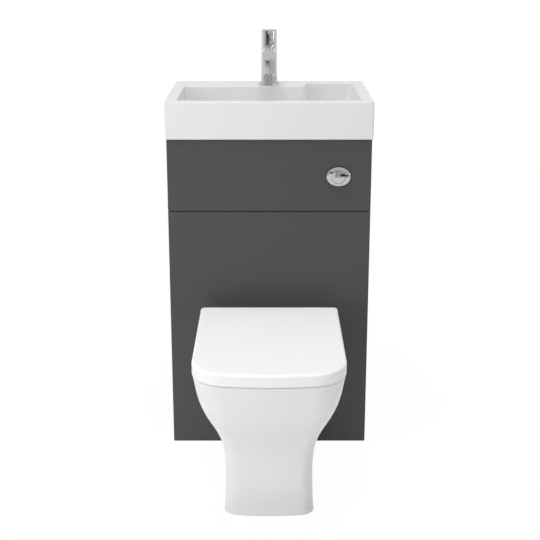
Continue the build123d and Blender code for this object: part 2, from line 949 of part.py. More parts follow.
def tap_fixing():
    stud_y = tap_y + tap_stud_back
    top = tap_body_z + tap_stud_bite
    stud = rod_z(tap_stud_radius - thread_play, top - tap_stud_length, top, 0, stud_y)
    under = basin_top - deck_thickness
    plate_low = under - clamp_thickness
    plate = rod_z(clamp_radius, plate_low, under, 0, tap_y)
    edge = clamp_radius + 1
    bowl_side = wall_y - deck_depth + bowl_wall + clamp_clear
    plate -= block(-edge, edge, tap_y - edge, bowl_side, plate_low - 1, under + 1)
    slot = tap_hole_radius - clamp_slot_inset
    plate -= block(-slot, slot, tap_y - edge, tap_y + clamp_slot_past, plate_low - 1, under + 1)
    plate -= rod_z(tap_stud_radius, plate_low - 1, under + 1, 0, stud_y)
    nut_low = plate_low - clamp_nut_height
    nut = extrude(Pos(0, stud_y, nut_low) * RegularPolygon(clamp_nut_radius, 6), clamp_nut_height)
    nut -= rod_z(tap_stud_radius, nut_low - 1, plate_low + 1, 0, stud_y)
    return group([stud, plate, nut])


def tail(side):
    x = side * tail_spread
    y = tap_y - tail_forward
    end_x = side * valve_spread
    points = [
        (x, y, tap_body_z + tap_floor),
        (x, y, cabinet_height + tail_bend_above),
        (end_x, valve_y, cabinet_height - tail_bend_below),
        (end_x, valve_y, valve_top + valve_nut_height),
    ]
    path = FilletPolyline(points, radius=tail_bend)
    start = Plane(origin=points[0], z_dir=(0, 0, -1))
    hose = sweep(start * Circle(tail_radius - thread_play), path=path)
    nut = Pos(end_x, valve_y, valve_top) * extrude(RegularPolygon(valve_radius, 6), valve_nut_height)
    return group([hose, nut])


def isolating_valves():
    valves = []
    for side in (-1, 1):
        x = side * valve_spread
        low = valve_top - valve_length
        body = extrude(Pos(x, valve_y, low) * RegularPolygon(valve_radius, 6), valve_length)
        body -= rod_z(supply_pipe_radius + supply_play, low - 1, low + supply_socket, x, valve_y)
        body -= rod_z(valve_way_radius, low, valve_top - valve_end_wall, x, valve_y)
        screw_z = low + valve_length / 2
        face = valve_y - valve_radius - valve_screw_proud
        end = face + valve_screw_depth
        body += rod_y(valve_screw_radius + valve_screw_wall, face, end, x, screw_z)
        body -= rod_y(valve_screw_radius + valve_screw_play, face - 1, end + 1, x, screw_z)
        valves.append(body)
    return group(valves)


def valve_screw(side):
    x = side * valve_spread
    z = valve_top - valve_length / 2
    face = valve_y - valve_radius - valve_screw_proud
    screw = rod_y(valve_screw_radius, face, face + valve_screw_depth, x, z)
    reach = valve_screw_radius + 1
    half = valve_slot_width / 2
    return screw - block(x - reach, x + reach, face - 1, face + valve_slot_depth, z - half, z + half)


# Concealed cistern

def cistern_tank():
    half = tank_width / 2
    front = tank_rear_y - tank_depth
    tank = block(-half, half, front, tank_rear_y, tank_bottom, tank_top)
    tank = fillet(tank.edges().filter_by(Axis.Z), tank_corner)
    hollow = block(-half + tank_wall, half - tank_wall, front + tank_wall, tank_rear_y - tank_wall,
                   tank_floor, tank_top + 1)
    hollow = fillet(hollow.edges().filter_by(Axis.Z), tank_corner - tank_wall)
    tank -= hollow
    flush_hole = flush_tail_radius + tank_hole_play
    fill_hole = fill_tail_radius + tank_hole_play
    tank -= rod_z(flush_hole, tank_bottom - 1, tank_floor + 1, 0, tank_y)
    return tank - rod_z(fill_hole, tank_bottom - 1, tank_floor + 1, fill_valve_x, tank_y)


def cistern_lid():
    half = tank_width / 2
    front = tank_rear_y - tank_depth
    lid = block(-half, half, front, tank_rear_y, tank_top, tank_top + tank_lid)
    lid = fillet(lid.edges().filter_by(Axis.Z), tank_corner)
    lid = chamfer(lid.faces().sort_by(Axis.Z)[-1].edges(), tank_lid_edge)
    edge = tank_wall + lid_lip_play
    lip = block(-half + edge, half - edge, front + edge, tank_rear_y - edge,
                tank_top - lid_lip, tank_top)
    lip = fillet(lip.edges().filter_by(Axis.Z), tank_corner - edge)
    edge += lid_lip_wall
    core = block(-half + edge, half - edge, front + edge, tank_rear_y - edge,
                 tank_top - lid_lip - 1, tank_top)
    lid += lip - core
    for y in nozzle_rows():
        lid -= rod_z(tube_radius + tube_hole_play, tank_top - 1, tank_top + tank_lid + 1, 0, y)
    return lid


def nozzle_rows():
    return [tank_y - nozzle_spread, tank_y + nozzle_spread]


def flush_tower():
    seat = rod_z(flush_seat_radius, tank_floor, flush_seat_top, 0, tank_y)
    tail_low = tank_bottom - flush_tail_length
    tail_tube = rod_z(flush_tail_radius, tail_low, tank_floor, 0, tank_y)
    plate = rod_z(flush_seat_radius, tower_top, tower_top + tower_plate, 0, tank_y)
    tower = seat + tail_tube + plate
    leg_place = flush_seat_radius - tower_leg_radius - 1
    for step in range(tower_legs):
        angle = radians(90 + 360 * step / tower_legs)
        x = leg_place * cos(angle)
        y = tank_y + leg_place * sin(angle)
        tower += rod_z(tower_leg_radius, flush_seat_top - 1, tower_top + 1, x, y)
    tower -= rod_z(flush_hole_radius - flush_pipe_wall, tail_low - 1, flush_seat_top + 1, 0, tank_y)
    pipe_hole = flush_pipe_radius + thread_play
    tower -= rod_z(pipe_hole, tail_low - 1, tank_bottom - flush_pipe_inset + 1, 0, tank_y)
    chamber = rod_z(air_chamber_radius, tower_top, chamber_top, 0, tank_y)
    for y in nozzle_rows():
        chamber += rod_z(nozzle_radius, chamber_top - 1, chamber_top + nozzle_length, 0, y)
    tower += chamber
    chamber_bore = air_chamber_radius - air_chamber_wall
    chamber_low = tower_top + air_chamber_floor
    tower -= rod_z(chamber_bore, chamber_low, chamber_top - air_chamber_wall, 0, tank_y)
    return tower - rod_z(plunger_stem_radius + plunger_play, tower_top - 1, chamber_low + 1, 0, tank_y)


def flush_plunger():
    low = flush_seat_top + plunger_gap
    seal_top = low + plunger_seal
    disc = rod_z(plunger_radius, low, seal_top, 0, tank_y)
    cone = Cone(plunger_radius - plunger_cone_edge, plunger_cone_top, plunger_cone_height)
    cone = Pos(0, tank_y, seal_top + plunger_cone_height / 2) * cone
    stem_top = tower_top + tower_plate
    stem = rod_z(plunger_stem_radius, seal_top, stem_top, 0, tank_y)
    piston_radius = air_chamber_radius - air_chamber_wall - piston_play
    return disc + cone + stem + rod_z(piston_radius, stem_top, stem_top + piston_height, 0, tank_y)


def flush_path():
    end_y = front_y - inlet_depth + flush_pipe_end_gap
    return [
        (0, tank_y, tank_bottom - flush_pipe_inset),
        (0, tank_y, flush_inlet_height),
        (0, end_y, flush_inlet_height),
    ]


def flush_pipe():
    points = flush_path()
    path = FilletPolyline(points, radius=flush_bend)
    start = Plane(origin=points[0], z_dir=(0, 0, -1))
    outer = sweep(start * Circle(flush_pipe_radius), path=path)
    return outer - sweep(start * Circle(flush_pipe_radius - flush_pipe_wall), path=path)


def flush_cone():
    z = flush_inlet_height
    inside = front_y - flush_cone_length
    lip_end = front_y + flush_cone_lip_height
    cone = rod_y(inlet_radius - thread_play, inside, front_y, 0, z)
    cone += rod_y(inlet_radius + flush_cone_lip, front_y, lip_end, 0, z)
    return cone - rod_y(flush_pipe_radius + thread_play, inside - 1, lip_end + 1, 0, z)


def fill_valve():
    low = tank_floor
    column_top = low + fill_column_height
    column = rod_z(fill_valve_radius, low, column_top, fill_valve_x, tank_y)
    flange_radius = fill_valve_radius + fill_flange_out
    flange = rod_z(flange_radius, low, low + fill_flange_height, fill_valve_x, tank_y)
    tail_low = tank_bottom - fill_tail_length
    tail_rod = rod_z(fill_tail_radius, tail_low, low, fill_valve_x, tank_y)
    head_radius = fill_valve_radius + fill_head_wall
    head_low = column_top - fill_head_overlap
    head = rod_z(head_radius, head_low, column_top + fill_head_height, fill_valve_x, tank_y)
    half = float_ear_width / 2
    ears = block(fill_valve_x, float_pivot_x + float_ear_end, tank_y - half, tank_y + half,
                 float_pivot_z - float_ear_half, float_pivot_z + float_ear_half)
    gap = float_knuckle_width / 2 + float_side_play
    slot = block(fill_valve_x + head_radius + float_side_play, float_pivot_x + float_ear_end + 1,
                 tank_y - gap, tank_y + gap,
                 float_pivot_z - float_ear_half - 1, float_pivot_z + float_ear_half + 1)
    body = column + flange + tail_rod + head + ears - slot
    pin_reach = half - float_ear_inset
    body += rod_y(float_pin_radius, tank_y - pin_reach, tank_y + pin_reach, float_pivot_x, float_pivot_z)
    way = fill_tail_radius - fill_tail_wall
    body -= rod_z(way, tail_low - 1, low + fill_way_height, fill_valve_x, tank_y)
    nut_low = tank_bottom - fill_nut_height
    groove_low = nut_low - fill_groove_width
    groove = rod_z(fill_tail_radius + 1, groove_low, nut_low, fill_valve_x, tank_y)
    groove_radius = fill_tail_radius - fill_groove_depth
    body -= groove - rod_z(groove_radius, groove_low, nut_low, fill_valve_x, tank_y)
    nut = RegularPolygon(fill_nut_radius, 6)
    nut = extrude(Pos(fill_valve_x, tank_y, nut_low) * nut, fill_nut_height)
    nut -= rod_z(fill_tail_radius + thread_play, nut_low - 1, tank_bottom + 1, fill_valve_x, tank_y)
    return group([body, nut])


def float_arm_solid():
    end_x = float_pivot_x + float_arm
    z = float_pivot_z
    half = float_knuckle_width / 2
    knuckle = rod_y(float_knuckle_radius, tank_y - half, tank_y + half, float_pivot_x, z)
    arm = block(float_pivot_x, end_x, tank_y - float_arm_half, tank_y + float_arm_half,
                z - float_arm_half, z + float_arm_half)
    high = z - float_drop
    low = high - float_height
    body = rod_z(float_radius, low, high, end_x, tank_y)
    body = fillet(body.edges().group_by(Axis.Z)[0], float_round)
    body -= rod_z(float_radius - float_wall, low - 1, high - float_wall, end_x, tank_y)
    hanger = rod_z(float_hanger_radius, high - 1, z, end_x, tank_y)
    whole = knuckle + arm + body + hanger
    hole_reach = half + 1
    return whole - rod_y(float_pin_radius + pin_play, tank_y - hole_reach, tank_y + hole_reach,
                         float_pivot_x, z)


def air_tube(start_x, lid_y, shift):
    start_y = front_y + housing_length + tube_end_gap
    middle_x = button_x / 2 - tube_middle_side + shift
    middle_y = tank_y - tube_middle_forward + 2 * shift
    points = [
        (start_x, start_y, button_height),
        (start_x, start_y + tube_first_run + shift, button_height),
        (middle_x, middle_y, button_height - tube_middle_drop),
        (0, lid_y, tank_top + tube_rise),
        (0, lid_y, chamber_top + tube_end_gap),
    ]
    path = FilletPolyline(points, radius=tube_bends)
    start = Plane(origin=points[0], z_dir=(0, 1, 0))
    outer = sweep(start * Circle(tube_radius), path=path)
    return outer - sweep(start * Circle(nozzle_radius + thread_play), path=path)


def air_tubes():
    near, far = nozzle_rows()
    inner = air_tube(button_x - nozzle_spread, near, 0)
    outer = air_tube(button_x + nozzle_spread, far, tube_spread)
    return group([inner, outer])


# Flush button

def button_bezel():
    z = button_height
    oval = Plane(origin=(button_x, front_y, z), x_dir=(1, 0, 0), z_dir=(0, -1, 0))
    rim = extrude(oval * Ellipse(bezel_width / 2, bezel_height / 2), bezel_proud)
    rim = fillet(rim.faces().sort_by(Axis.Y)[0].edges(), bezel_round)
    back = front_y + housing_length
    tube = rod_y(housing_radius, front_y, back, button_x, z)
    bezel = rim + tube
    bore = rod_y(housing_bore, front_y - bezel_proud - 1, back - housing_floor, button_x, z)
    bezel -= bore
    floor_y = back - housing_floor - 1
    bezel -= rod_y(full_stem_radius + button_play, floor_y, back + 1, button_x + full_stem_offset, z)
    bezel -= rod_y(half_stem_radius + button_play, floor_y, back + 1, button_x + lens_offset, z)
    for side in (-1, 1):
        x = button_x + side * nozzle_spread
        bezel += rod_y(nozzle_radius, back, back + nozzle_length, x, z)
    return bezel


def button_backnut():
    end = board_y + button_nut_height
    nut = rod_y(housing_radius + button_nut_wall, board_y, end, button_x, button_height)
    nut -= rod_y(housing_radius + thread_play, board_y - 1, end + 1, button_x, button_height)
    for step in range(button_nut_grips):
        angle = radians(360 * step / button_nut_grips)
        reach = housing_radius + button_nut_wall + 1
        x = button_x + reach * cos(angle)
        z = button_height + reach * sin(angle)
        nut -= rod_y(button_nut_grip_radius, board_y - 1, end + 1, x, z)
    return nut


def lens(grow):
    half_wide = lens_width / 2 + grow
    half_tall = lens_height / 2 + grow
    radius = (half_wide**2 + half_tall**2) / (2 * half_wide)
    shift = radius - half_wide
    middle = button_x + lens_offset
    left = rod_y(radius, button_face_y, button_back_y, middle - shift, button_height)
    right = rod_y(radius, button_face_y, button_back_y, middle + shift, button_height)
    return left & right


def full_button():
    disc = rod_y(full_radius, button_face_y, button_back_y, button_x, button_height)
    disc = chamfer(disc.faces().sort_by(Axis.Y)[0].edges(), button_edge)
    disc -= lens(button_play)
    x = button_x + full_stem_offset
    return disc + rod_y(full_stem_radius, button_back_y - 1, button_stem_y, x, button_height)


def half_button():
    x = button_x + lens_offset
    return lens(0) + rod_y(half_stem_radius, button_back_y - 1, button_stem_y, x, button_height)


def coil(radius, x):
    start_y = button_back_y + spring_wire
    length = front_y + housing_length - housing_floor - spring_wire - start_y
    helix = Helix(length / spring_turns, length, radius)
    start = Plane(origin=helix @ 0, z_dir=helix % 0)
    wire = sweep(start * Circle(spring_wire), path=helix, is_frenet=True)
    return Plane(origin=(x, start_y, button_height), z_dir=(0, 1, 0)) * wire


# Pan

# Height, share of the way from foot to rim across, and share of the way forward.
def pan_levels():
    return [
        (0, 0.0, 0.0),
        (60, -0.045, 0.0),
        (120, -0.05, 0.0),
        (165, 0.03, 0.06),
        (205, 0.215, 0.25),
        (245, 0.495, 0.52),
        (285, 0.745, 0.74),
        (325, 0.895, 0.9),
        (rim_height, 1.0, 1.0),
    ]


def pan_section(z, across, forward, inset):
    half = foot_half_width + (pan_half_width - foot_half_width) * across - inset
    reach = foot_reach + (pan_reach - foot_reach) * forward - inset
    nose = foot_nose_depth + (pan_nose_depth - foot_nose_depth) * forward - inset
    corner = foot_nose_corner + (pan_nose_corner - foot_nose_corner) * forward - inset
    rear = front_y - inset
    return Pos(0, 0, z) * nose_outline(half, rear, front_y - reach, nose, corner)


def pan_outside():
    form = loft([pan_section(z, across, forward, 0) for z, across, forward in pan_levels()])
    rim = form.faces().sort_by(Axis.Z)[-1].edges().sort_by(Axis.Y)[:-1]
    return fillet(rim, pan_rim_edge)


def pan_hollow():
    sections = []
    for z, across, forward in pan_levels():
        level = min(z, rim_height - pan_deck)
        low = level - 1 if z == 0 else level
        sections.append(pan_section(low, across, forward, pan_wall))
    return loft(sections)


def pan_bowl_levels():
    rim_y = front_y - pan_reach + bowl_front_rim + bowl_length / 2
    half_x = bowl_half_width
    half_y = bowl_length / 2
    slope_top = rim_height - bowl_side_depth
    drop = slope_top - sump_height
    return [
        (rim_height + 1, rim_y, half_x, half_y),
        (slope_top, rim_y, half_x - 2, half_y - 2),
        (slope_top - 0.3 * drop, rim_y + sump_back / 3, half_x - 20, half_y - 25),
        (slope_top - 0.62 * drop, rim_y + 0.72 * sump_back, half_x - 50, half_y - 61),
        (sump_height + 40, rim_y + 0.95 * sump_back, sump_radius + 4, sump_radius + 6),
        (sump_height, rim_y + sump_back, sump_radius - 8, sump_radius - 6),
    ]


def bowl_form(grow):
    sections = []
    levels = pan_bowl_levels()
    for step, (z, y, half_x, half_y) in enumerate(levels):
        drop = grow if step == len(levels) - 1 else 0
        sections.append(Pos(0, y, z - drop) * Ellipse(half_x + grow, half_y + grow))
    return loft(sections)


def sump_y():
    return pan_bowl_levels()[-1][1]


def trap_way(radius, end_y):
    start_y = sump_y()
    crown_y = start_y + trap_way_rise_run
    points = [
        (0, start_y, trap_way_height),
        (0, start_y + trap_way_low_run, trap_way_height),
        (0, crown_y, weir_height),
        (0, crown_y + trap_way_fall_run, outlet_height),
        (0, end_y, outlet_height),
    ]
    path = FilletPolyline(points, radius=trap_way_bend)
    start = Plane(origin=points[0], z_dir=(0, 1, 0))
    return sweep(start * Circle(radius), path=path)


def pan():
    hollow = pan_hollow()
    hollow -= bowl_form(glaze_wall)
    hollow -= trap_way(trap_way_radius + glaze_wall, front_y + 1)
    jet_start = front_y - inlet_jet_length
    hollow -= rod_y(inlet_radius + glaze_wall, jet_start, front_y + 1, 0, flush_inlet_height)
    body = pan_outside() - hollow - bowl_form(0)
    body += rod_y(outlet_radius, front_y - pan_wall, front_y + outlet_length, 0, outlet_height)
    bore_start = front_y - outlet_bore_depth
    body -= rod_y(outlet_bore, bore_start, front_y + outlet_length + 1, 0, outlet_height)
    body -= trap_way(trap_way_radius, bore_start + outlet_bore_depth / 2)
    body -= rod_y(inlet_radius, front_y - inlet_depth, front_y + 1, 0, flush_inlet_height)
    body -= rod_y(inlet_jet_radius, jet_start + glaze_wall, front_y, 0, flush_inlet_height)
    for side in (-1, 1):
        bolt_hole = hinge_bolt_radius + bolt_hole_play
        body -= rod_z(bolt_hole, rim_height - pan_deck - 5, rim_height + 1, side * hinge_spread, hinge_y)
        x0 = side * (foot_half_width - 2 * pan_wall)
        x1 = side * (foot_half_width + 1)
        body -= rod_x(side_screw_radius + side_screw_play, x0, x1, side_screw_y, side_screw_height)
        cap_hole = screw_cap_radius + screw_cap_play
        body -= rod_x(cap_hole, side * screw_seat_x, x1, side_screw_y, side_screw_height)
    return body


def pan_screws():
    x = screw_seat_x
    head = rod_x(side_screw_head, x, x + side_screw_head_height, side_screw_y, side_screw_height)
    shank = rod_x(side_screw_radius, x - side_screw_length, x, side_screw_y, side_screw_height)
    return group(mirror_pair(head + shank))


def screw_caps():
    low = screw_seat_x + side_screw_head_height + thread_play
    high = screw_seat_x + screw_cap_depth
    cap = rod_x(screw_cap_radius, low, high, side_screw_y, side_screw_height)
    cap = fillet(cap.faces().sort_by(Axis.X)[-1].edges(), screw_cap_edge)
    return group(mirror_pair(cap))


def floor_brackets():
    y = side_screw_y
    outer = foot_half_width - pan_wall - floor_bracket_gap
    half = floor_bracket_width / 2
    high = side_screw_height + half
    flange = block(outer - floor_bracket_steel, outer, y - half, y + half, 0, high)
    foot = block(outer - floor_bracket_reach, outer, y - half, y + half, 0, floor_bracket_steel)
    bracket = flange + foot
    bracket -= rod_x(side_screw_radius + thread_play, 0, outer + 1, y, side_screw_height)
    hole_x = outer - floor_bracket_reach / 2 - bracket_hole_shift
    bracket -= rod_z(side_screw_radius, -1, floor_bracket_steel + 1, hole_x, y)
    return group(mirror_pair(bracket))


def soil_connector():
    z = outlet_height
    start = board_y + soil_pipe_wall
    spigot_end = front_y + outlet_length
    sleeve = rod_y(outlet_radius + soil_sleeve_wall, start, soil_pipe_start, 0, z)
    pipe = rod_y(soil_pipe_radius, soil_pipe_start - 1, wall_y, 0, z)
    body = sleeve + pipe
    body -= rod_y(outlet_radius + supply_play, start - 1, spigot_end + soil_seal_gap, 0, z)
    return body - rod_y(soil_pipe_radius - soil_pipe_wall, spigot_end, wall_y + 1, 0, z)


# Seat, lid and hinges

def lid_outline(inset):
    half = lid_width / 2 - inset
    depth = nose_depth - inset
    corner = nose_corner - inset
    face = nose_outline(half, lid_rear_y - inset, lid_front_y + inset, depth, corner)
    rear = face.vertices().sort_by(Axis.Y)[-2:]
    return fillet(rear, max(lid_rear_corner - inset, 1))


def lid():
    shell = extrude(Pos(0, 0, lid_bottom) * lid_outline(0), lid_height)
    shell = fillet(shell.faces().sort_by(Axis.Z)[-1].edges(), lid_round)
    hollow = extrude(Pos(0, 0, lid_bottom - 1) * lid_outline(lid_skirt), lid_height - lid_roof + 1)
    shell -= hollow
    rear_low = hinge_z - lid_rear_rise
    rear_cut = hinge_y + lid_rear_cut
    shell -= block(-lid_width, lid_width, rear_cut, lid_rear_y + 1, lid_bottom - 1, rear_low)
    notch = hinge_post_width / 2 + lug_width + 2 * lug_gap
    for side in (-1, 1):
        x0 = side * hinge_spread - notch
        x1 = side * hinge_spread + notch
        shell -= block(x0, x1, lid_rear_y - lid_skirt - 1, lid_rear_y + 1, lid_bottom, lid_ceiling)
    for side in (-1, 1):
        near = side * (hinge_spread - hinge_post_width / 2 - lug_gap)
        far = near - side * lug_width
        lug = rod_x(hinge_radius, near, far, hinge_y, hinge_z)
        lug += block(near, far, hinge_y - lug_web, hinge_y + lug_web, hinge_z, lid_ceiling)
        shell += lug
        shell -= rod_x(hinge_pin_radius + hinge_play, near, far, hinge_y, hinge_z)
    return shell


def seat():
    inset = lid_skirt + seat_play
    half = lid_width / 2 - inset
    front = lid_front_y + inset
    outline = nose_outline(half, seat_rear_y, front, nose_depth - inset, nose_corner - inset)
    plate = extrude(Pos(0, 0, seat_bottom) * outline, seat_thickness)
    plate = fillet(plate.faces().sort_by(Axis.Z)[-1].edges(), seat_edge)
    opening_rear = seat_rear_y - seat_rear_ring
    opening = nose_outline(half - seat_ring, opening_rear, front + seat_ring,
                           opening_nose_depth, opening_nose_corner)
    opening = fillet(opening.vertices().sort_by(Axis.Y)[-2:], opening_rear_corner)
    hole = extrude(Pos(0, 0, seat_bottom - 1) * opening, seat_thickness + 2)
    plate -= hole
    rim = plate.faces().sort_by(Axis.Z)[-1].inner_wires()[0].edges()
    plate = fillet(rim, seat_edge)
    for side in (-1, 1):
        near = side * (hinge_spread + hinge_post_width / 2 + lug_gap)
        far = near + side * lug_width
        plate += rod_x(hinge_radius, near, far, hinge_y, hinge_z)
        web_low = hinge_z - lug_web
        web_high = seat_top - seat_web_drop
        plate += block(near, far, seat_rear_y - 2 * seat_edge, hinge_y, web_low, web_high)
        plate -= rod_x(hinge_pin_radius + hinge_play, near, far, hinge_y, hinge_z)
    return plate


def buffer_spots():
    front = lid_front_y + buffer_front
    rear = lid_front_y + buffer_rear
    x = lid_width / 2 - buffer_inset
    narrow = x - buffer_front_inset
    return [(-narrow, front), (narrow, front), (-x, rear), (x, rear)]


def seat_buffers():
    low = rim_height + buffer_gap
    return group([rod_z(buffer_radius, low, seat_bottom, x, y) for x, y in buffer_spots()])


def lid_buffers():
    low = seat_top + buffer_gap
    return group([rod_z(buffer_radius, low, lid_ceiling, x, y) for x, y in buffer_spots()])


def hinge_posts():
    half = hinge_post_width / 2
    x0 = hinge_spread - half
    x1 = hinge_spread + half
    base_top = rim_height + hinge_base_height
    base = rod_z(hinge_base_radius, rim_height, base_top, hinge_spread, hinge_y)
    rear = hinge_y + hinge_radius + hinge_base_rear
    base -= block(0, lid_width / 2, rear, rear + hinge_base_radius, rim_height - 1, base_top + 1)
    stem = block(x0, x1, hinge_y - hinge_radius, hinge_y + hinge_radius, rim_height, hinge_z)
    barrel = rod_x(hinge_radius, x0, x1, hinge_y, hinge_z)
    post = base + stem + barrel
    post -= rod_x(hinge_pin_radius + press_play, x0 - 1, x1 + 1, hinge_y, hinge_z)
    bolt_top = base_top + hinge_bolt_bite
    post -= rod_z(hinge_bolt_radius + press_play, rim_height - 1, bolt_top, hinge_spread, hinge_y)
    return group(mirror_pair(post))


def hinge_pins():
    reach = hinge_post_width / 2 + lug_gap + lug_width + hinge_pin_proud
    pin = rod_x(hinge_pin_radius, hinge_spread - reach, hinge_spread + reach, hinge_y, hinge_z)
    return group(mirror_pair(pin))


def hinge_bolts():
    top = rim_height + hinge_base_height + hinge_bolt_bite - hinge_bolt_end_gap
    bolt = rod_z(hinge_bolt_radius, top - hinge_bolt_length, top, hinge_spread, hinge_y)
    nut_top = rim_height - pan_deck
    nut = extrude(Pos(hinge_spread, hinge_y, nut_top - hinge_nut_height)
                  * RegularPolygon(hinge_nut_radius, 6), hinge_nut_height)
    nut -= rod_z(hinge_bolt_radius + press_play, 0, nut_top + 1, hinge_spread, hinge_y)
    return group(mirror_pair(bolt) + mirror_pair(nut))


def build_parts():
    return {
        "left_side_panel": side_panel(-1),
        "right_side_panel": side_panel(1),
        "upper_fascia": upper_fascia(),
        "lower_fascia": lower_fascia(),
        "front_top_rail": front_top_rail(),
        "fascia_rail": fascia_rail(),
        "rear_rails": rear_rails(),
        "dowels": group(dowel_places(dowel_radius - dowel_play)),
        "corner_blocks": corner_blocks(),
        "wall_brackets": wall_brackets(),
        "bracket_screws": bracket_screws(),
        "basin": basin(),
        "waste_body": waste_body(),
        "waste_plug": waste_plug(),
        "waste_backnut": waste_backnut(),
        "trap_body": trap_body(),
        "trap_cup": trap_cup(),
        "waste_pipe": waste_pipe(),
        "tap_base_ring": tap_base_ring(),
        "tap_body": tap_body(),
        "aerator": aerator(),
        "cartridge": cartridge(),
        "turning_stem": turning_stem(),
        "tap_handle": tap_handle(),
        "tap_lever": tap_lever(),
        "hot_mark": mark(-1),
        "cold_mark": mark(1),
        "tap_fixing": tap_fixing(),
        "hot_tail": tail(-1),
        "cold_tail": tail(1),
        "isolating_valves": isolating_valves(),
        "hot_valve_screw": valve_screw(-1),
        "cold_valve_screw": valve_screw(1),
        "cistern_tank": cistern_tank(),
        "cistern_lid": cistern_lid(),
        "fill_valve": fill_valve(),
        "float_arm": float_arm_solid(),
        "flush_tower": flush_tower(),
        "flush_plunger": flush_plunger(),
        "flush_pipe": flush_pipe(),
        "flush_cone": flush_cone(),
        "air_tubes": air_tubes(),
        "button_bezel": button_bezel(),
        "button_backnut": button_backnut(),
        "full_button": full_button(),
        "half_button": half_button(),
        "full_spring": coil(full_spring_radius, button_x + full_stem_offset),
        "half_spring": coil(half_spring_radius, button_x + lens_offset),
        "pan": pan(),
        "pan_screws": pan_screws(),
        "screw_caps": screw_caps(),
        "floor_brackets": floor_brackets(),
        "soil_connector": soil_connector(),
        "seat": seat(),
        "seat_buffers": seat_buffers(),
        "lid": lid(),
        "lid_buffers": lid_buffers(),
        "hinge_posts": hinge_posts(),
        "hinge_pins": hinge_pins(),
        "hinge_bolts": hinge_bolts(),
    }


os.makedirs("parts", exist_ok=True)
for name, shape in build_parts().items():
    export_step(shape, f"parts/{name}.step")
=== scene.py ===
import json
import math

import bmesh
import bpy
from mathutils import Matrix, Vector
from mathutils.bvhtree import BVHTree


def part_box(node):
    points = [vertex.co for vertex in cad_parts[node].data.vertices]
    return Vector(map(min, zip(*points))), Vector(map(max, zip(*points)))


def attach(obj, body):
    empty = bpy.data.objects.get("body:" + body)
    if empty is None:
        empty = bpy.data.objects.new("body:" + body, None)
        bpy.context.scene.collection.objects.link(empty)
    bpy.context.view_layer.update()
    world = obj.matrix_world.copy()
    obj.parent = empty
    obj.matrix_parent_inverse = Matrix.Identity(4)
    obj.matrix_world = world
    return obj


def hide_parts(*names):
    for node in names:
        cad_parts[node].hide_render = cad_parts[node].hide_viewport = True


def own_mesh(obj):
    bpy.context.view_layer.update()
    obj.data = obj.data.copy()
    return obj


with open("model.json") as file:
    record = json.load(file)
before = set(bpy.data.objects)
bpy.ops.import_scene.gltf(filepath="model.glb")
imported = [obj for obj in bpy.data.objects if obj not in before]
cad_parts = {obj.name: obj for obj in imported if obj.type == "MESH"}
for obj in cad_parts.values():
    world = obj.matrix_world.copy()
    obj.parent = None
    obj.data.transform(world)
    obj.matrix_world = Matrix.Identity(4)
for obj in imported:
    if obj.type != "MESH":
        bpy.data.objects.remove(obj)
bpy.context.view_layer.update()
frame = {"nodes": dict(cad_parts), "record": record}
nodes = frame["nodes"]

# View of the studio photograph, in metres and degrees
CAMERA_PLACE = (0.0019, -2.4385, 1.2993)
CAMERA_TILT = 15.36
CAMERA_LENS = 69.9
CAMERA_SHIFT_Y = -0.10

# Studio: light from the white room, and what polished pieces mirror of it, painted into the floor and world for
# reflections only
DOME_LEVELS = [(-1, 0.34), (0, 0.42), (0.4, 0.42), (1, 0.48)]
FLOOR_RADIUS = 60
FLOOR_WHITE = 1.03
FLOOR_GLOW_NEAR = 0.93
FLOOR_GLOW_FROM = 1.0
FLOOR_GLOW_TO = 6.0
BRIGHT_FLOOR_RIGHT = 2.9
BRIGHT_FLOOR_LEFT = 8.6
FLOOR_MIRRORED = 0.9
CEILING_MIRRORED = 0.7
FAR_FLOOR_MIRRORED = [
    (-180, 1.0), (-112, 1.0), (-88, 0.8), (-60, 0.45), (-42, 0.12), (-25, 0.02), (-8, 0.05),
    (6, 0.5), (22, 0.6), (85, 0.6), (112, 0.95), (180, 1.0),
]
WALLS_MIRRORED = [
    (-180, 0.68), (-112, 0.74), (-88, 0.74), (-60, 0.62), (85, 0.62), (112, 0.74), (180, 0.68),
]
# A dark patch painted into the floor colour that only reflections see, a painted dark reflection on the chrome
# tap: a point in metres, then degrees to the right and distance in metres, each as low, high and soft edge
PAINTED_DARK_REFLECTION_FROM = (0.17, 0.06, 0)
PAINTED_DARK_REFLECTION_TURN = (6.5, 19.0, 2.0)
PAINTED_DARK_REFLECTION_DISTANCE = (3.35, 5.4, 0.35)

# Curved faces of the flush button, in metres
BUTTON_STEP = 0.0012
BEZEL_RISE = 0.0026
BUTTON_STAND = 0.0014
BUTTON_RISE = 0.0009
DROP_WIDTH = 0.0022
DROP_HEIGHT = 0.0042
DROP_PROUD = 0.0005

# Water standing in the pan, in metres
WATER_LEVEL = 0.196
WATER_LAYER = 0.004
WATER_RAYS = 72
WATER_OVERLAP = 0.0006
WATER_FURTHEST = 0.2
MENISCUS_RISE = 0.001
MENISCUS_WIDTH = 0.004

# Screws in the corner blocks, in metres
BLOCK_SCREW_SIDE = 0.215
BLOCK_SCREW_HEIGHTS = (0.15675, 0.3055, 0.45425, 0.7225)
BLOCK_SCREW_HEAD = (
    (0.0, 0.00215), (0.0004, 0.00215), (0.0008, 0.00212), (0.0012, 0.00206), (0.0016, 0.00196),
    (0.002, 0.00182), (0.0026, 0.0015), (0.0032, 0.00098), (0.0037, 0.0003), (0.0038, 0.0),
)
CROSS_REACH = 0.0019
CROSS_HALF_ANGLE = 13
CROSS_DEPTH = 0.0011

# Shader node helpers

def add_node(tree, kind, **values):
    node = tree.nodes.new(kind)
    for key, value in values.items():
        setattr(node, key, value)
    return node


def join(tree, source, target):
    tree.links.new(source, target)


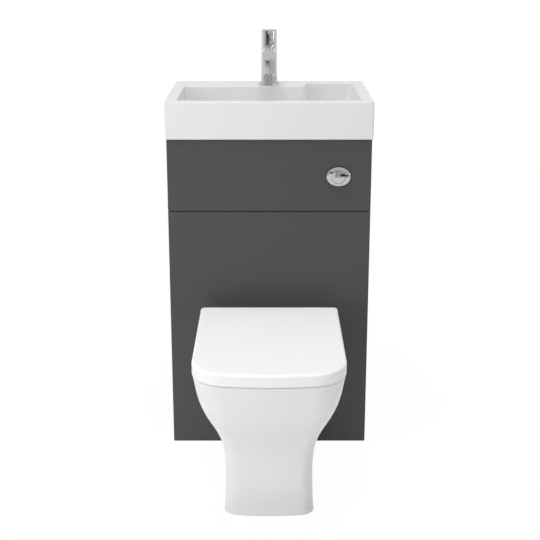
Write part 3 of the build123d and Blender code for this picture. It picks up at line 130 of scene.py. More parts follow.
def math_node(tree, operation, first, second=None, clamp=False):
    node = add_node(tree, "ShaderNodeMath", operation=operation, use_clamp=clamp)
    for socket, value in zip(node.inputs, (first, second)):
        if value is None:
            continue
        if isinstance(value, (int, float)):
            socket.default_value = value
        else:
            join(tree, value, socket)
    return node.outputs[0]


def group_tree(name, inputs, outputs):
    tree = bpy.data.node_groups.new(name, "ShaderNodeTree")
    for label, kind, value in inputs:
        socket = tree.interface.new_socket(label, in_out="INPUT", socket_type=kind)
        if value is not None:
            socket.default_value = value
    for label, kind in outputs:
        tree.interface.new_socket(label, in_out="OUTPUT", socket_type=kind)
    return tree, tree.nodes.new("NodeGroupInput"), tree.nodes.new("NodeGroupOutput")


# Slow change of tone over a surface, as thick glaze, lacquer and moulded plastic have.
def make_tone_group():
    tree, given, result = group_tree(
        "surface_tone",
        [("Colour", "NodeSocketColor", (0.8, 0.8, 0.8, 1)), ("Scale", "NodeSocketFloat", 4.0),
         ("Spread", "NodeSocketFloat", 0.02)],
        [("Colour", "NodeSocketColor")],
    )
    place = add_node(tree, "ShaderNodeTexCoord")
    noise = add_node(tree, "ShaderNodeTexNoise")
    noise.inputs["Detail"].default_value = 3
    join(tree, place.outputs["Object"], noise.inputs["Vector"])
    join(tree, given.outputs["Scale"], noise.inputs["Scale"])
    centred = math_node(tree, "SUBTRACT", noise.outputs["Fac"], 0.5)
    change = math_node(tree, "MULTIPLY", centred, given.outputs["Spread"])
    gain = math_node(tree, "MULTIPLY_ADD", change, 2.0)
    gain.node.inputs[2].default_value = 1.0
    scaled = add_node(tree, "ShaderNodeVectorMath", operation="SCALE")
    join(tree, given.outputs["Colour"], scaled.inputs[0])
    join(tree, gain, scaled.inputs["Scale"])
    join(tree, scaled.outputs[0], result.inputs["Colour"])
    return tree


# Roughness that drifts a little over the surface, with fine polishing marks.
def make_polish_group():
    tree, given, result = group_tree(
        "polish",
        [("Roughness", "NodeSocketFloat", 0.1), ("Spread", "NodeSocketFloat", 0.03),
         ("Scale", "NodeSocketFloat", 30.0)],
        [("Roughness", "NodeSocketFloat")],
    )
    place = add_node(tree, "ShaderNodeTexCoord")
    noise = add_node(tree, "ShaderNodeTexNoise")
    noise.inputs["Detail"].default_value = 5
    noise.inputs["Roughness"].default_value = 0.7
    join(tree, place.outputs["Object"], noise.inputs["Vector"])
    join(tree, given.outputs["Scale"], noise.inputs["Scale"])
    centred = math_node(tree, "SUBTRACT", noise.outputs["Fac"], 0.5)
    change = math_node(tree, "MULTIPLY", centred, given.outputs["Spread"])
    total = math_node(tree, "ADD", change, given.outputs["Roughness"], clamp=True)
    join(tree, total, result.inputs["Roughness"])
    return tree


# Height of slow ripples and fine peel, in metres, for glaze, lacquer and mouldings.
def make_ripple_group():
    tree, given, result = group_tree(
        "ripple",
        [("Slow Scale", "NodeSocketFloat", 12.0), ("Slow Height", "NodeSocketFloat", 0.0001),
         ("Fine Scale", "NodeSocketFloat", 500.0), ("Fine Height", "NodeSocketFloat", 0.000002)],
        [("Height", "NodeSocketFloat")],
    )
    place = add_node(tree, "ShaderNodeTexCoord")
    parts = []
    for scale, height in (("Slow Scale", "Slow Height"), ("Fine Scale", "Fine Height")):
        noise = add_node(tree, "ShaderNodeTexNoise")
        noise.inputs["Detail"].default_value = 2
        join(tree, place.outputs["Object"], noise.inputs["Vector"])
        join(tree, given.outputs[scale], noise.inputs["Scale"])
        parts.append(math_node(tree, "MULTIPLY", noise.outputs["Fac"], given.outputs[height]))
    join(tree, math_node(tree, "ADD", parts[0], parts[1]), result.inputs["Height"])
    return tree


# Fine dust that settles on faces that look up, for places nobody wipes.
def make_dust_group():
    tree, given, result = group_tree(
        "settled_dust",
        [("Colour", "NodeSocketColor", (0.5, 0.5, 0.5, 1)), ("Dust", "NodeSocketColor", (0.42, 0.4, 0.37, 1)),
         ("Amount", "NodeSocketFloat", 0.2)],
        [("Colour", "NodeSocketColor")],
    )
    surface = add_node(tree, "ShaderNodeNewGeometry")
    split = add_node(tree, "ShaderNodeSeparateXYZ")
    join(tree, surface.outputs["Normal"], split.inputs[0])
    up = math_node(tree, "MULTIPLY", split.outputs["Z"], given.outputs["Amount"], clamp=True)
    place = add_node(tree, "ShaderNodeTexCoord")
    noise = add_node(tree, "ShaderNodeTexNoise")
    noise.inputs["Scale"].default_value = 60
    noise.inputs["Detail"].default_value = 6
    join(tree, place.outputs["Object"], noise.inputs["Vector"])
    mask = math_node(tree, "MULTIPLY", up, noise.outputs["Fac"], clamp=True)
    mix = add_node(tree, "ShaderNodeMix", data_type="RGBA")
    join(tree, mask, mix.inputs["Factor"])
    join(tree, given.outputs["Colour"], mix.inputs["A"])
    join(tree, given.outputs["Dust"], mix.inputs["B"])
    join(tree, mix.outputs["Result"], result.inputs["Colour"])
    return tree


TONE = make_tone_group()
POLISH = make_polish_group()
RIPPLE = make_ripple_group()
DUST = make_dust_group()


def place_group(tree, group, **values):
    node = add_node(tree, "ShaderNodeGroup", node_tree=group)
    for key, value in values.items():
        socket = node.inputs[key.replace("_", " ")]
        if hasattr(value, "is_output"):
            join(tree, value, socket)
        else:
            socket.default_value = value
    return node.outputs[0]


def new_material(name, shader_values):
    material = bpy.data.materials.new(name)
    material.use_nodes = True
    tree = material.node_tree
    shader = tree.nodes["Principled BSDF"]
    for key, value in shader_values.items():
        shader.inputs[key].default_value = value
    return material, tree, shader


def rgb(red, green, blue):
    return (red, green, blue, 1.0)


def bump(tree, shader, height, strength=1.0):
    node = add_node(tree, "ShaderNodeBump")
    node.inputs["Strength"].default_value = strength
    node.inputs["Distance"].default_value = 1.0
    join(tree, height, node.inputs["Height"])
    join(tree, node.outputs["Normal"], shader.inputs["Normal"])


# One smooth finish: tone, polish and ripple, with the values that make it glaze, lacquer or plastic.
def smooth_finish(name, colour, roughness, spread=0.03, polish_scale=30.0, tone=(4.0, 0.02),
                  slow=(12.0, 0.0), fine=(500.0, 0.0), dust=0.0, **shader_values):
    material, tree, shader = new_material(name, shader_values)
    toned = place_group(tree, TONE, Colour=rgb(*colour), Scale=tone[0], Spread=tone[1])
    if dust:
        toned = place_group(tree, DUST, Colour=toned, Amount=dust)
    join(tree, toned, shader.inputs["Base Color"])
    rough = place_group(tree, POLISH, Roughness=roughness, Spread=spread, Scale=polish_scale)
    join(tree, rough, shader.inputs["Roughness"])
    if slow[1] or fine[1]:
        height = place_group(tree, RIPPLE, Slow_Scale=slow[0], Slow_Height=slow[1],
                             Fine_Scale=fine[0], Fine_Height=fine[1])
        bump(tree, shader, height)
    return material


# Materials

def grey_lacquer():
    return smooth_finish(
        "grey_satin_lacquer", (0.0738, 0.069, 0.0704), 0.38, 0.04, 60.0, (3.0, 0.02),
        slow=(9.0, 0.00003), fine=(420.0, 0.0000015), **{"Specular IOR Level": 0.22},
    )


def foil_board():
    material, tree, shader = new_material("grey_foil_board", {"Specular IOR Level": 0.35})
    place = add_node(tree, "ShaderNodeTexCoord")
    stretch = add_node(tree, "ShaderNodeMapping")
    stretch.inputs["Scale"].default_value = (6, 60, 60)
    grain = add_node(tree, "ShaderNodeTexNoise")
    grain.inputs["Scale"].default_value = 8
    grain.inputs["Detail"].default_value = 8
    join(tree, place.outputs["Object"], stretch.inputs["Vector"])
    join(tree, stretch.outputs["Vector"], grain.inputs["Vector"])
    ramp = add_node(tree, "ShaderNodeValToRGB")
    ramp.color_ramp.elements[0].position = 0.3
    ramp.color_ramp.elements[0].color = rgb(0.062, 0.059, 0.06)
    ramp.color_ramp.elements[1].position = 0.75
    ramp.color_ramp.elements[1].color = rgb(0.088, 0.084, 0.085)
    join(tree, grain.outputs["Fac"], ramp.inputs["Fac"])
    toned = place_group(tree, DUST, Colour=ramp.outputs["Color"], Amount=0.5)
    join(tree, toned, shader.inputs["Base Color"])
    rough = place_group(tree, POLISH, Roughness=0.45, Spread=0.1, Scale=50.0)
    join(tree, rough, shader.inputs["Roughness"])
    height = math_node(tree, "MULTIPLY", grain.outputs["Fac"], 0.00004)
    bump(tree, shader, height)
    return material


def beech():
    material, tree, shader = new_material("beech_dowel", {})
    place = add_node(tree, "ShaderNodeTexCoord")
    stretch = add_node(tree, "ShaderNodeMapping")
    stretch.inputs["Scale"].default_value = (0.1, 1, 1)
    grain = add_node(tree, "ShaderNodeTexNoise")
    grain.inputs["Scale"].default_value = 900
    join(tree, place.outputs["Object"], stretch.inputs["Vector"])
    join(tree, stretch.outputs["Vector"], grain.inputs["Vector"])
    ramp = add_node(tree, "ShaderNodeValToRGB")
    ramp.color_ramp.elements[0].color = rgb(0.36, 0.21, 0.11)
    ramp.color_ramp.elements[1].color = rgb(0.62, 0.43, 0.26)
    join(tree, grain.outputs["Fac"], ramp.inputs["Fac"])
    join(tree, ramp.outputs["Color"], shader.inputs["Base Color"])
    rough = place_group(tree, POLISH, Roughness=0.55, Spread=0.1, Scale=200.0)
    join(tree, rough, shader.inputs["Roughness"])
    return material


def basin_resin():
    return smooth_finish(
        "basin_gloss_resin", (0.75, 0.75, 0.75), 0.16, 0.03, 25.0, (2.5, 0.008),
        slow=(7.0, 0.00001), fine=(260.0, 0.0000003), **{"Specular IOR Level": 0.45},
    )


def pan_glaze():
    return smooth_finish(
        "pan_glaze", (0.79, 0.79, 0.79), 0.16, 0.03, 20.0, (3.0, 0.008),
        slow=(10.0, 0.00012), fine=(300.0, 0.000001), **{"Specular IOR Level": 0.35},
    )


def seat_plastic():
    return smooth_finish(
        "seat_gloss_plastic", (0.86, 0.86, 0.858), 0.3, 0.03, 40.0, (3.0, 0.006),
        slow=(6.0, 0.00003), fine=(500.0, 0.0000006), **{"Specular IOR Level": 0.12},
    )


def chrome():
    return smooth_finish(
        "polished_chrome", (0.60, 0.603, 0.607), 0.045, 0.03, 140.0, (20.0, 0.01),
        slow=(30.0, 0.000008), **{"Metallic": 1.0},
    )


def white_plastic():
    return smooth_finish(
        "white_pipe_plastic", (0.74, 0.74, 0.73), 0.34, 0.08, 90.0, (8.0, 0.03),
        fine=(900.0, 0.000012), dust=0.35, **{"Specular IOR Level": 0.45},
    )


def grey_plastic():
    return smooth_finish(
        "dark_tank_plastic", (0.055, 0.056, 0.06), 0.42, 0.1, 80.0, (6.0, 0.08),
        slow=(18.0, 0.0003), fine=(1100.0, 0.00002), dust=0.5,
    )


def white_rubber():
    return smooth_finish(
        "white_rubber", (0.7, 0.7, 0.69), 0.6, 0.1, 150.0, (40.0, 0.04), fine=(1500.0, 0.00001),
    )


def black_rubber():
    return smooth_finish(
        "black_rubber", (0.022, 0.022, 0.023), 0.62, 0.12, 120.0, (20.0, 0.2),
        fine=(1200.0, 0.00002), dust=0.5,
    )


def clear_tube():
    return smooth_finish(
        "milky_tube", (0.78, 0.8, 0.78), 0.3, 0.08, 100.0, (15.0, 0.05),
        **{"Transmission Weight": 0.35, "IOR": 1.42},
    )


def brass():
    return smooth_finish(
        "turned_brass", (0.62, 0.45, 0.19), 0.24, 0.12, 260.0, (50.0, 0.1),
        fine=(1600.0, 0.000004), **{"Metallic": 1.0},
    )


def zinc_steel():
    material, tree, shader = new_material("zinc_plated_steel", {"Metallic": 1.0})
    place = add_node(tree, "ShaderNodeTexCoord")
    spangle = add_node(tree, "ShaderNodeTexVoronoi")
    spangle.inputs["Scale"].default_value = 300
    join(tree, place.outputs["Object"], spangle.inputs["Vector"])
    ramp = add_node(tree, "ShaderNodeValToRGB")
    ramp.color_ramp.elements[0].color = rgb(0.5, 0.5, 0.47)
    ramp.color_ramp.elements[1].color = rgb(0.66, 0.67, 0.68)
    join(tree, spangle.outputs["Color"], ramp.inputs["Fac"])
    join(tree, ramp.outputs["Color"], shader.inputs["Base Color"])
    rough = place_group(tree, POLISH, Roughness=0.33, Spread=0.15, Scale=120.0)
    join(tree, rough, shader.inputs["Roughness"])
    return material


def spring_steel():
    return smooth_finish("spring_steel", (0.5, 0.5, 0.52), 0.25, 0.1, 900.0, (300.0, 0.1), **{"Metallic": 1.0})


def mark_enamel(name, colour):
    return smooth_finish(name, colour, 0.2, 0.05, 300.0, (200.0, 0.05), **{"Coat Weight": 0.5})


# Braided steel sleeve: two crossing sets of fine strands round the hose.
def braided_hose():
    material, tree, shader = new_material("braided_steel_sleeve", {"Metallic": 1.0})
    place = add_node(tree, "ShaderNodeTexCoord")
    strands = []
    for turn in (40, -40):
        spin = add_node(tree, "ShaderNodeMapping")
        spin.inputs["Rotation"].default_value = (math.radians(turn), math.radians(turn), 0)
        wave = add_node(tree, "ShaderNodeTexWave", wave_type="BANDS", bands_direction="Z")
        wave.inputs["Scale"].default_value = 260
        wave.inputs["Distortion"].default_value = 0.4
        join(tree, place.outputs["Object"], spin.inputs["Vector"])
        join(tree, spin.outputs["Vector"], wave.inputs["Vector"])
        strands.append(wave.outputs["Fac"])
    weave = math_node(tree, "MAXIMUM", strands[0], strands[1])
    ramp = add_node(tree, "ShaderNodeValToRGB")
    ramp.color_ramp.elements[0].position = 0.35
    ramp.color_ramp.elements[0].color = rgb(0.08, 0.08, 0.085)
    ramp.color_ramp.elements[1].position = 0.85
    ramp.color_ramp.elements[1].color = rgb(0.62, 0.62, 0.64)
    join(tree, weave, ramp.inputs["Fac"])
    join(tree, ramp.outputs["Color"], shader.inputs["Base Color"])
    rough = place_group(tree, POLISH, Roughness=0.35, Spread=0.1, Scale=400.0)
    join(tree, rough, shader.inputs["Roughness"])
    bump(tree, shader, math_node(tree, "MULTIPLY", weave, 0.0003))
    return material


def still_water():
    material, tree, shader = new_material(
        "still_water", {"Transmission Weight": 1.0, "IOR": 1.33, "Metallic": 0.0})
    toned = place_group(tree, TONE, Colour=rgb(0.93, 0.97, 0.97), Scale=6.0, Spread=0.01)
    join(tree, toned, shader.inputs["Base Color"])
    rough = place_group(tree, POLISH, Roughness=0.01, Spread=0.004, Scale=20.0)
    join(tree, rough, shader.inputs["Roughness"])
    height = place_group(tree, RIPPLE, Slow_Scale=30.0, Slow_Height=0.0002, Fine_Scale=200.0, Fine_Height=0.0)
    bump(tree, shader, height)
    return material


SLOT_FINISH = {
    "grey_gloss_board": grey_lacquer(),
    "board_core": foil_board(),
    "beech": beech(),
    "white_plastic": white_plastic(),
    "zinc_steel": zinc_steel(),
    "basin_white": basin_resin(),
    "pan_white": pan_glaze(),
    "chrome": chrome(),
    "grey_plastic": grey_plastic(),
    "brass_stem": brass(),
    "red_mark": mark_enamel("red_enamel", (0.62, 0.02, 0.03)),
    "blue_mark": mark_enamel("blue_enamel", (0.02, 0.03, 0.5)),
    "braided_hose": braided_hose(),
    "black_rubber": black_rubber(),
    "clear_tube": clear_tube(),
    "spring_steel": spring_steel(),
    "seat_white": seat_plastic(),
    "white_rubber": white_rubber(),
}


def dress_nodes():
    for part in frame["record"]["subparts"]:
        mesh = nodes[part["node"]].data
        mesh.materials.clear()
        mesh.materials.append(SLOT_FINISH[part["material_slot"]])


# Pieces made here

def new_piece(name, shape, body, slot_name, finish=None, sharp_angle=30):
    bmesh.ops.recalc_face_normals(shape, faces=shape.faces)
    for face in shape.faces:
        face.smooth = True
    for edge in shape.edges:
        if len(edge.link_faces) == 2:
            edge.smooth = edge.calc_face_angle() < math.radians(sharp_angle)
    mesh = bpy.data.meshes.new(name)
    shape.to_mesh(mesh)
    shape.free()
    mesh.materials.append(finish or SLOT_FINISH[slot_name])
    piece = bpy.data.objects.new(name, mesh)
    bpy.context.scene.collection.objects.link(piece)
    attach(piece, body)
    return piece


# Cuts the flat front of a piece into a fine grid, so that it can be curved.
def cut_front(shape, low, high):
    for axis in (0, 2):
        steps = round((high[axis] - low[axis]) / BUTTON_STEP)
        across = Vector([float(axis == side) for side in range(3)])
        for step in range(1, steps):
            place = low + (high - low) * step / steps
            faces = [f for f in shape.faces if abs(f.calc_center_median().y - low.y) < 0.00001]
            edges = {e for f in faces for e in f.edges}
            corners = {v for f in faces for v in f.verts}
            bmesh.ops.bisect_plane(
                shape, geom=faces + list(edges) + list(corners), dist=0.0000001,
                plane_co=place, plane_no=across)


# A front that bulges from its edge to its middle. Points deeper than the given depth stay.
def curved_front(node, name, body, centre, half_sizes, stand, rise, depth):
    low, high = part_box(node)
    shape = bmesh.new()
    shape.from_mesh(nodes[node].data)
    bmesh.ops.remove_doubles(shape, verts=shape.verts, dist=0.000002)
    cut_front(shape, low, high)
    for point in shape.verts:
        share = 1 - (point.co.y - low.y) / depth
        if share <= 0:
            continue
        across = (point.co.x - centre.x) / half_sizes[0]
        up = (point.co.z - centre.z) / half_sizes[1]
        bulge = max(0.0, 1 - across**2 - up**2)
        point.co.y -= share * (stand + rise * bulge)
    piece = new_piece(name, shape, body, "chrome")
    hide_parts(node)
    return piece


def flush_button_faces():
    low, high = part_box("button_bezel")
    centre = (low + high) / 2
    oval = ((high.x - low.x) / 2, (high.z - low.z) / 2)
    curved_front("button_bezel", "curved_button_bezel", "unit", centre, oval, 0, BEZEL_RISE, 0.007)
    low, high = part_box("full_button")
    disc = ((high.x - low.x) / 2, (high.z - low.z) / 2)
    for node in ("full_button", "half_button"):
        curved_front(node, "curved_" + node, node, centre, disc, BUTTON_STAND, BUTTON_RISE, 0.012)
    return centre, disc


# A copy of the spring, made a piece of its own on the unit, with a mesh of its own.
def pressed_spring(node):
    shape = bmesh.new()
    shape.from_mesh(nodes[node].data)
    bmesh.ops.remove_doubles(shape, verts=shape.verts, dist=0.000002)
    spring = new_piece("pressed_" + node, shape, "unit", "spring_steel")
    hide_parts(node)
    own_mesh(spring)


# The small raised drop on the half flush button.
def half_flush_drop(centre, disc):
    low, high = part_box("half_button")
    middle = (low + high) / 2
    across = (middle.x - centre.x) / disc[0]
    face_y = low.y - BUTTON_STAND - BUTTON_RISE * (1 - across**2)
    shape = bmesh.new()
    rings = []
    for scale, proud in ((1.0, -0.4), (0.97, 0.5), (0.75, 0.85), (0.45, 0.97), (0.15, 1.0)):
        ring = []
        for step in range(32):
            turn = 2 * math.pi * step / 32
            x = DROP_WIDTH / 2 * math.sin(turn) * math.sin(turn / 2) ** 1.3 * 1.25
            z = DROP_HEIGHT / 2 * math.cos(turn)
            ring.append(shape.verts.new((middle.x + scale * x, face_y - proud * DROP_PROUD, middle.z + scale * z)))
        rings.append(ring)
    bridge_rings(shape, rings)
    return new_piece("half_flush_drop", shape, "half_button", "chrome", sharp_angle=50)


# Joins rings of points into a closed skin with a lid at each end.
def bridge_rings(shape, rings):
    for near, far in zip(rings, rings[1:]):
        for step in range(len(near)):
            following = (step + 1) % len(near)
            shape.faces.new((near[step], near[following], far[following], far[step]))
    shape.faces.new(rings[0])
    shape.faces.new(rings[-1])


# Outline of the glaze round the sump at one height, as distances from the sump's middle.
def bowl_reach(glaze, middle_y, height):
    reach = []
    for step in range(WATER_RAYS):
        turn = 2 * math.pi * (step + 0.5) / WATER_RAYS
        direction = Vector((math.sin(turn), -math.cos(turn), 0))
        distance = glaze.ray_cast(Vector((0, middle_y, height)), direction)[3]
        reach.append(distance or WATER_FURTHEST)
    return [
        min(distance, 1.12 * reach[(WATER_RAYS // 2 - 1 - step) % WATER_RAYS]) + WATER_OVERLAP
        for step, distance in enumerate(reach)
    ]


# The top layer of the water in the pan. Its rim runs up the glaze and ends just inside it.
def pan_water():
    mesh = nodes["pan"].data
    glaze = BVHTree.FromPolygons([v.co for v in mesh.vertices], [p.vertices for p in mesh.polygons])
    sump = next(o for o in frame["record"]["physics"]["openings"] if o["name"] == "pan_bowl_sump")
    middle_y = (sump["box_m"][0][1] + sump["box_m"][1][1]) / 2
    top = bowl_reach(glaze, middle_y, WATER_LEVEL + MENISCUS_RISE)
    bottom = bowl_reach(glaze, middle_y, WATER_LEVEL - WATER_LAYER)
    shape = bmesh.new()
    rings = []

    def ring_at(reach, height, inset, share):
        ring = []
        for step, distance in enumerate(reach):
            turn = 2 * math.pi * (step + 0.5) / WATER_RAYS
            out = (distance - inset) * share
            ring.append(shape.verts.new((out * math.sin(turn), middle_y - out * math.cos(turn), height)))
        rings.append(ring)

    for share in (0.12, 0.4, 0.7, 1):
        ring_at(bottom, WATER_LEVEL - WATER_LAYER, 0, share)
    ring_at(top, WATER_LEVEL + MENISCUS_RISE, 0, 1)
    for step in range(1, 6):
        fall = step / 5
        height = WATER_LEVEL + MENISCUS_RISE * (1 - fall) ** 2.5
        ring_at(top, height, MENISCUS_WIDTH * fall, 1)
    for share in (0.85, 0.6, 0.35, 0.12):
        ring_at(top, WATER_LEVEL, MENISCUS_WIDTH, share)
    bridge_rings(shape, rings)
    return new_piece("pan_water", shape, "unit", None, still_water(), sharp_angle=60)


# Pan head screws with a cross recess, on the rear of the corner blocks.
def block_screws():
    face_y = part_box("corner_blocks")[1].y
    count = 0
    for height in BLOCK_SCREW_HEIGHTS:
        for side in (-1, 1):
            shape = bmesh.new()
            rings = []
            for radius, proud in BLOCK_SCREW_HEAD[1:]:
                ring = []
                for step in range(48):
                    turn = 360 * step / 48 + 9 * count
                    slot_turn = (turn + 45) % 90 - 45
                    deep = abs(slot_turn) < CROSS_HALF_ANGLE or radius < 0.0007
                    sunk = CROSS_DEPTH if deep and radius < CROSS_REACH else 0
                    x = side * BLOCK_SCREW_SIDE + radius * math.cos(math.radians(turn))
                    z = height + radius * math.sin(math.radians(turn))
                    ring.append(shape.verts.new((x, face_y + proud - sunk, z)))
                rings.append(ring)
            bridge_rings(shape, rings)
            count += 1
            new_piece(f"block_screw_{count}", shape, "unit", "zinc_steel", sharp_angle=40)


# Studio: floor, world, lamps and camera

def level_ramp(tree, value, low, high, levels):
    ramp = add_node(tree, "ShaderNodeValToRGB")
    marks = ramp.color_ramp.elements
    while len(marks) > 1:
        marks.remove(marks[-1])
    for step, (at, level) in enumerate(levels):
        spot = (at - low) / (high - low)
        mark = marks[0] if step == 0 else marks.new(spot)
        mark.position = spot
        mark.color = rgb(level, level, level)
    scaled = add_node(tree, "ShaderNodeMapRange")
    scaled.inputs["From Min"].default_value = low
    scaled.inputs["From Max"].default_value = high
    join(tree, value, scaled.inputs["Value"])
    join(tree, scaled.outputs["Result"], ramp.inputs["Fac"])
    return ramp.outputs["Color"]


# Degrees to the right of straight ahead of the toilet.
def compass_degrees(tree, direction):
    split = add_node(tree, "ShaderNodeSeparateXYZ")
    join(tree, direction, split.inputs[0])
    ahead = math_node(tree, "MULTIPLY", split.outputs["Y"], -1.0)
    turn = math_node(tree, "ARCTAN2", split.outputs["X"], ahead)
    return math_node(tree, "MULTIPLY", turn, 180 / math.pi)


# Painted reflection: brightness of the room that polished pieces mirror, by the compass direction it is seen in,
# for glossy rays only.
def make_room_group(name, levels):
    tree, given, result = group_tree(
        name, [("Direction", "NodeSocketVector", None)], [("Colour", "NodeSocketColor")],
    )
    degrees = compass_degrees(tree, given.outputs["Direction"])
    join(tree, level_ramp(tree, degrees, -180, 180, levels), result.inputs["Colour"])
    return tree


def blend_colours(tree, share, first, second):
    node = add_node(tree, "ShaderNodeMix", data_type="RGBA")
    join(tree, share, node.inputs["Factor"])
    for socket, value in (("A", first), ("B", second)):
        if isinstance(value, tuple):
            node.inputs[socket].default_value = value
        else:
            join(tree, value, node.inputs[socket])
    return node.outputs["Result"]


def fade(tree, value, low, high, low_value=0.0, high_value=1.0):
    node = add_node(tree, "ShaderNodeMapRange", interpolation_type="SMOOTHSTEP")
    join(tree, value, node.inputs["Value"])
    node.inputs["From Min"].default_value = low
    node.inputs["From Max"].default_value = high
    node.inputs["To Min"].default_value = low_value
    node.inputs["To Max"].default_value = high_value
    return node.outputs["Result"]


def band(tree, value, low, high, soft):
    rising = fade(tree, value, low - soft, low + soft)
    falling = fade(tree, value, high - soft, high + soft, 1.0, 0.0)
    return math_node(tree, "MULTIPLY", rising, falling)


def add_floor():
    mesh = bpy.data.meshes.new("studio_floor")
    shape = bmesh.new()
    bmesh.ops.create_circle(shape, cap_ends=True, segments=64, radius=FLOOR_RADIUS)
    shape.to_mesh(mesh)
    shape.free()
    floor = bpy.data.objects.new("studio_floor", mesh)
    bpy.context.scene.collection.objects.link(floor)
    material = bpy.data.materials.new("pale_floor")
    material.use_nodes = True
    tree = material.node_tree
    shader = tree.nodes["Principled BSDF"]
    shader.inputs["Base Color"].default_value = rgb(0.7, 0.7, 0.7)
    shader.inputs["Roughness"].default_value = 0.9
    shader.inputs["Specular IOR Level"].default_value = 0.0
    surface = add_node(tree, "ShaderNodeNewGeometry")
    distance = add_node(tree, "ShaderNodeVectorMath", operation="LENGTH")
    join(tree, surface.outputs["Position"], distance.inputs[0])
    rays = add_node(tree, "ShaderNodeLightPath")
    clear = math_node(tree, "MAXIMUM", rays.outputs["Is Camera Ray"], rays.outputs["Is Transmission Ray"])
    seen = math_node(tree, "MAXIMUM", clear, rays.outputs["Is Glossy Ray"])
    glow = fade(tree, distance.outputs["Value"], FLOOR_GLOW_FROM, FLOOR_GLOW_TO, FLOOR_GLOW_NEAR, 1.0)
    share = math_node(tree, "MULTIPLY", seen, glow)
    split = add_node(tree, "ShaderNodeSeparateXYZ")
    join(tree, surface.outputs["Position"], split.inputs[0])
    # Beyond a radius on the left and on the right, the floor that reflections see takes the compass levels of the
    # room: a painted reflection.
    far = []
    for radius, spread in ((BRIGHT_FLOOR_LEFT, 0.06), (BRIGHT_FLOOR_RIGHT, 0.15)):
        low, high = (1 - spread) * radius, (1 + spread) * radius
        far.append(fade(tree, distance.outputs["Value"], low, high))
    sideways = math_node(tree, "DIVIDE", split.outputs["X"], distance.outputs["Value"])
    to_right = fade(tree, sideways, -0.05, 0.04)
    far = blend_colours(tree, to_right, far[0], far[1])
    room = make_room_group("mirrored_far_floor", FAR_FLOOR_MIRRORED)
    around = place_group(tree, room, Direction=surface.outputs["Position"])
    mirrored = blend_colours(tree, far, rgb(FLOOR_MIRRORED, FLOOR_MIRRORED, FLOOR_MIRRORED), around)
    # A dark patch painted into the mirrored floor: a painted dark reflection on the chrome.
    offset = add_node(tree, "ShaderNodeVectorMath", operation="SUBTRACT")
    join(tree, surface.outputs["Position"], offset.inputs[0])
    offset.inputs[1].default_value = PAINTED_DARK_REFLECTION_FROM
    away = add_node(tree, "ShaderNodeVectorMath", operation="LENGTH")
    join(tree, offset.outputs[0], away.inputs[0])
    turn = compass_degrees(tree, offset.outputs[0])
    in_turn = band(tree, turn, *PAINTED_DARK_REFLECTION_TURN)
    in_reach = band(tree, away.outputs["Value"], *PAINTED_DARK_REFLECTION_DISTANCE)
    dark = math_node(tree, "MULTIPLY", in_turn, in_reach)
    mirrored = blend_colours(tree, dark, mirrored, rgb(0.01, 0.01, 0.01))
    shown = blend_colours(tree, clear, mirrored, rgb(FLOOR_WHITE, FLOOR_WHITE, FLOOR_WHITE))
    light = add_node(tree, "ShaderNodeEmission")
    join(tree, shown, light.inputs["Color"])
    mix = add_node(tree, "ShaderNodeMixShader")
    join(tree, share, mix.inputs["Fac"])
    join(tree, shader.outputs[0], mix.inputs[1])
    join(tree, light.outputs[0], mix.inputs[2])
    join(tree, mix.outputs[0], tree.nodes["Material Output"].inputs["Surface"])
    mesh.materials.append(material)


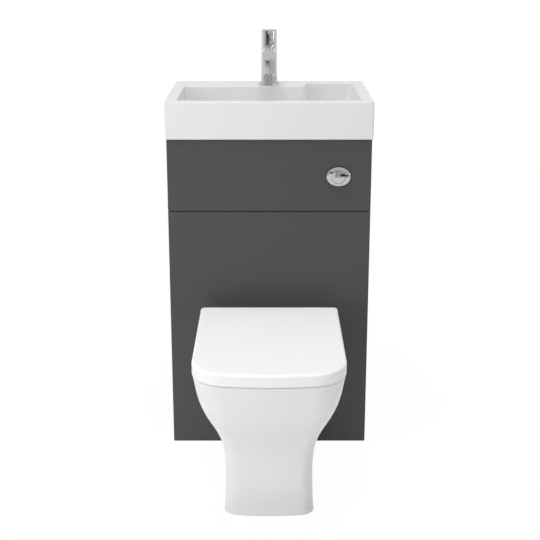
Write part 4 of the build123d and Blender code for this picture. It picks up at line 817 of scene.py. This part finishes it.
def add_world():
    world = bpy.data.worlds.new("studio")
    bpy.context.scene.world = world
    world.use_nodes = True
    tree = world.node_tree
    light = tree.nodes["Background"]
    place = add_node(tree, "ShaderNodeTexCoord")
    split = add_node(tree, "ShaderNodeSeparateXYZ")
    join(tree, place.outputs["Generated"], split.inputs[0])
    join(tree, level_ramp(tree, split.outputs["Z"], -1, 1, DOME_LEVELS), light.inputs["Color"])
    # Walls and ceiling that only reflections see: painted reflections.
    room = make_room_group("mirrored_walls", WALLS_MIRRORED)
    around = place_group(tree, room, Direction=place.outputs["Generated"])
    above = fade(tree, split.outputs["Z"], 0.45, 0.8)
    mirrored = blend_colours(tree, above, around, rgb(CEILING_MIRRORED, CEILING_MIRRORED, CEILING_MIRRORED))
    rays = add_node(tree, "ShaderNodeLightPath")
    clear = math_node(tree, "MAXIMUM", rays.outputs["Is Camera Ray"], rays.outputs["Is Transmission Ray"])
    seen = math_node(tree, "MAXIMUM", clear, rays.outputs["Is Glossy Ray"])
    shown = blend_colours(tree, clear, mirrored, rgb(1, 1, 1))
    backdrop = add_node(tree, "ShaderNodeBackground")
    join(tree, shown, backdrop.inputs["Color"])
    mix = add_node(tree, "ShaderNodeMixShader")
    join(tree, seen, mix.inputs["Fac"])
    join(tree, light.outputs[0], mix.inputs[1])
    join(tree, backdrop.outputs[0], mix.inputs[2])
    join(tree, mix.outputs[0], tree.nodes["World Output"].inputs["Surface"])


def add_softbox(name, place, target, size, power, mirrored=False):
    lamp = bpy.data.lights.new(name, "AREA")
    lamp.shape = "RECTANGLE"
    lamp.size, lamp.size_y = size
    lamp.energy = power
    box = bpy.data.objects.new(name, lamp)
    box.location = place
    box.visible_glossy = mirrored
    box.rotation_euler = (Vector(target) - Vector(place)).to_track_quat("-Z", "Y").to_euler()
    bpy.context.scene.collection.objects.link(box)


def add_camera():
    camera = bpy.data.cameras.new("camera")
    camera.lens = CAMERA_LENS
    camera.sensor_width = 36
    camera.shift_y = CAMERA_SHIFT_Y
    stand = bpy.data.objects.new("camera", camera)
    stand.location = CAMERA_PLACE
    stand.rotation_euler = (math.radians(90 - CAMERA_TILT), 0, 0)
    bpy.context.scene.collection.objects.link(stand)
    bpy.context.scene.camera = stand


bpy.context.scene.view_settings.view_transform = "Standard"
dress_nodes()
half_flush_drop(*flush_button_faces())
pressed_spring("full_spring")
pressed_spring("half_spring")
pan_water()
block_screws()
add_floor()
add_world()
add_softbox("left_softbox", (-2.4, -1.9, 1.7), (0, 0, 0.5), (1.8, 2.2), 24)
add_softbox("top_softbox", (-0.15, -0.65, 4.3), (0, -0.1, 0.5), (1.8, 1.4), 84)
add_softbox("front_fill", (-1.15, -3.05, 0.45), (0, 0, 0.45), (2.6, 0.8), 25)
add_softbox("left_edge_light", (-2.6, 0.9, 1.2), (0, -0.2, 0.3), (0.8, 1.8), 12)
add_softbox("right_edge_light", (2.6, 0.9, 1.2), (0, -0.2, 0.3), (0.8, 1.8), 9)
add_softbox("right_strip", (2.6, -0.75, 1.12), (0, 0.2, 0.8), (0.16, 0.8), 3, mirrored=True)
add_camera()
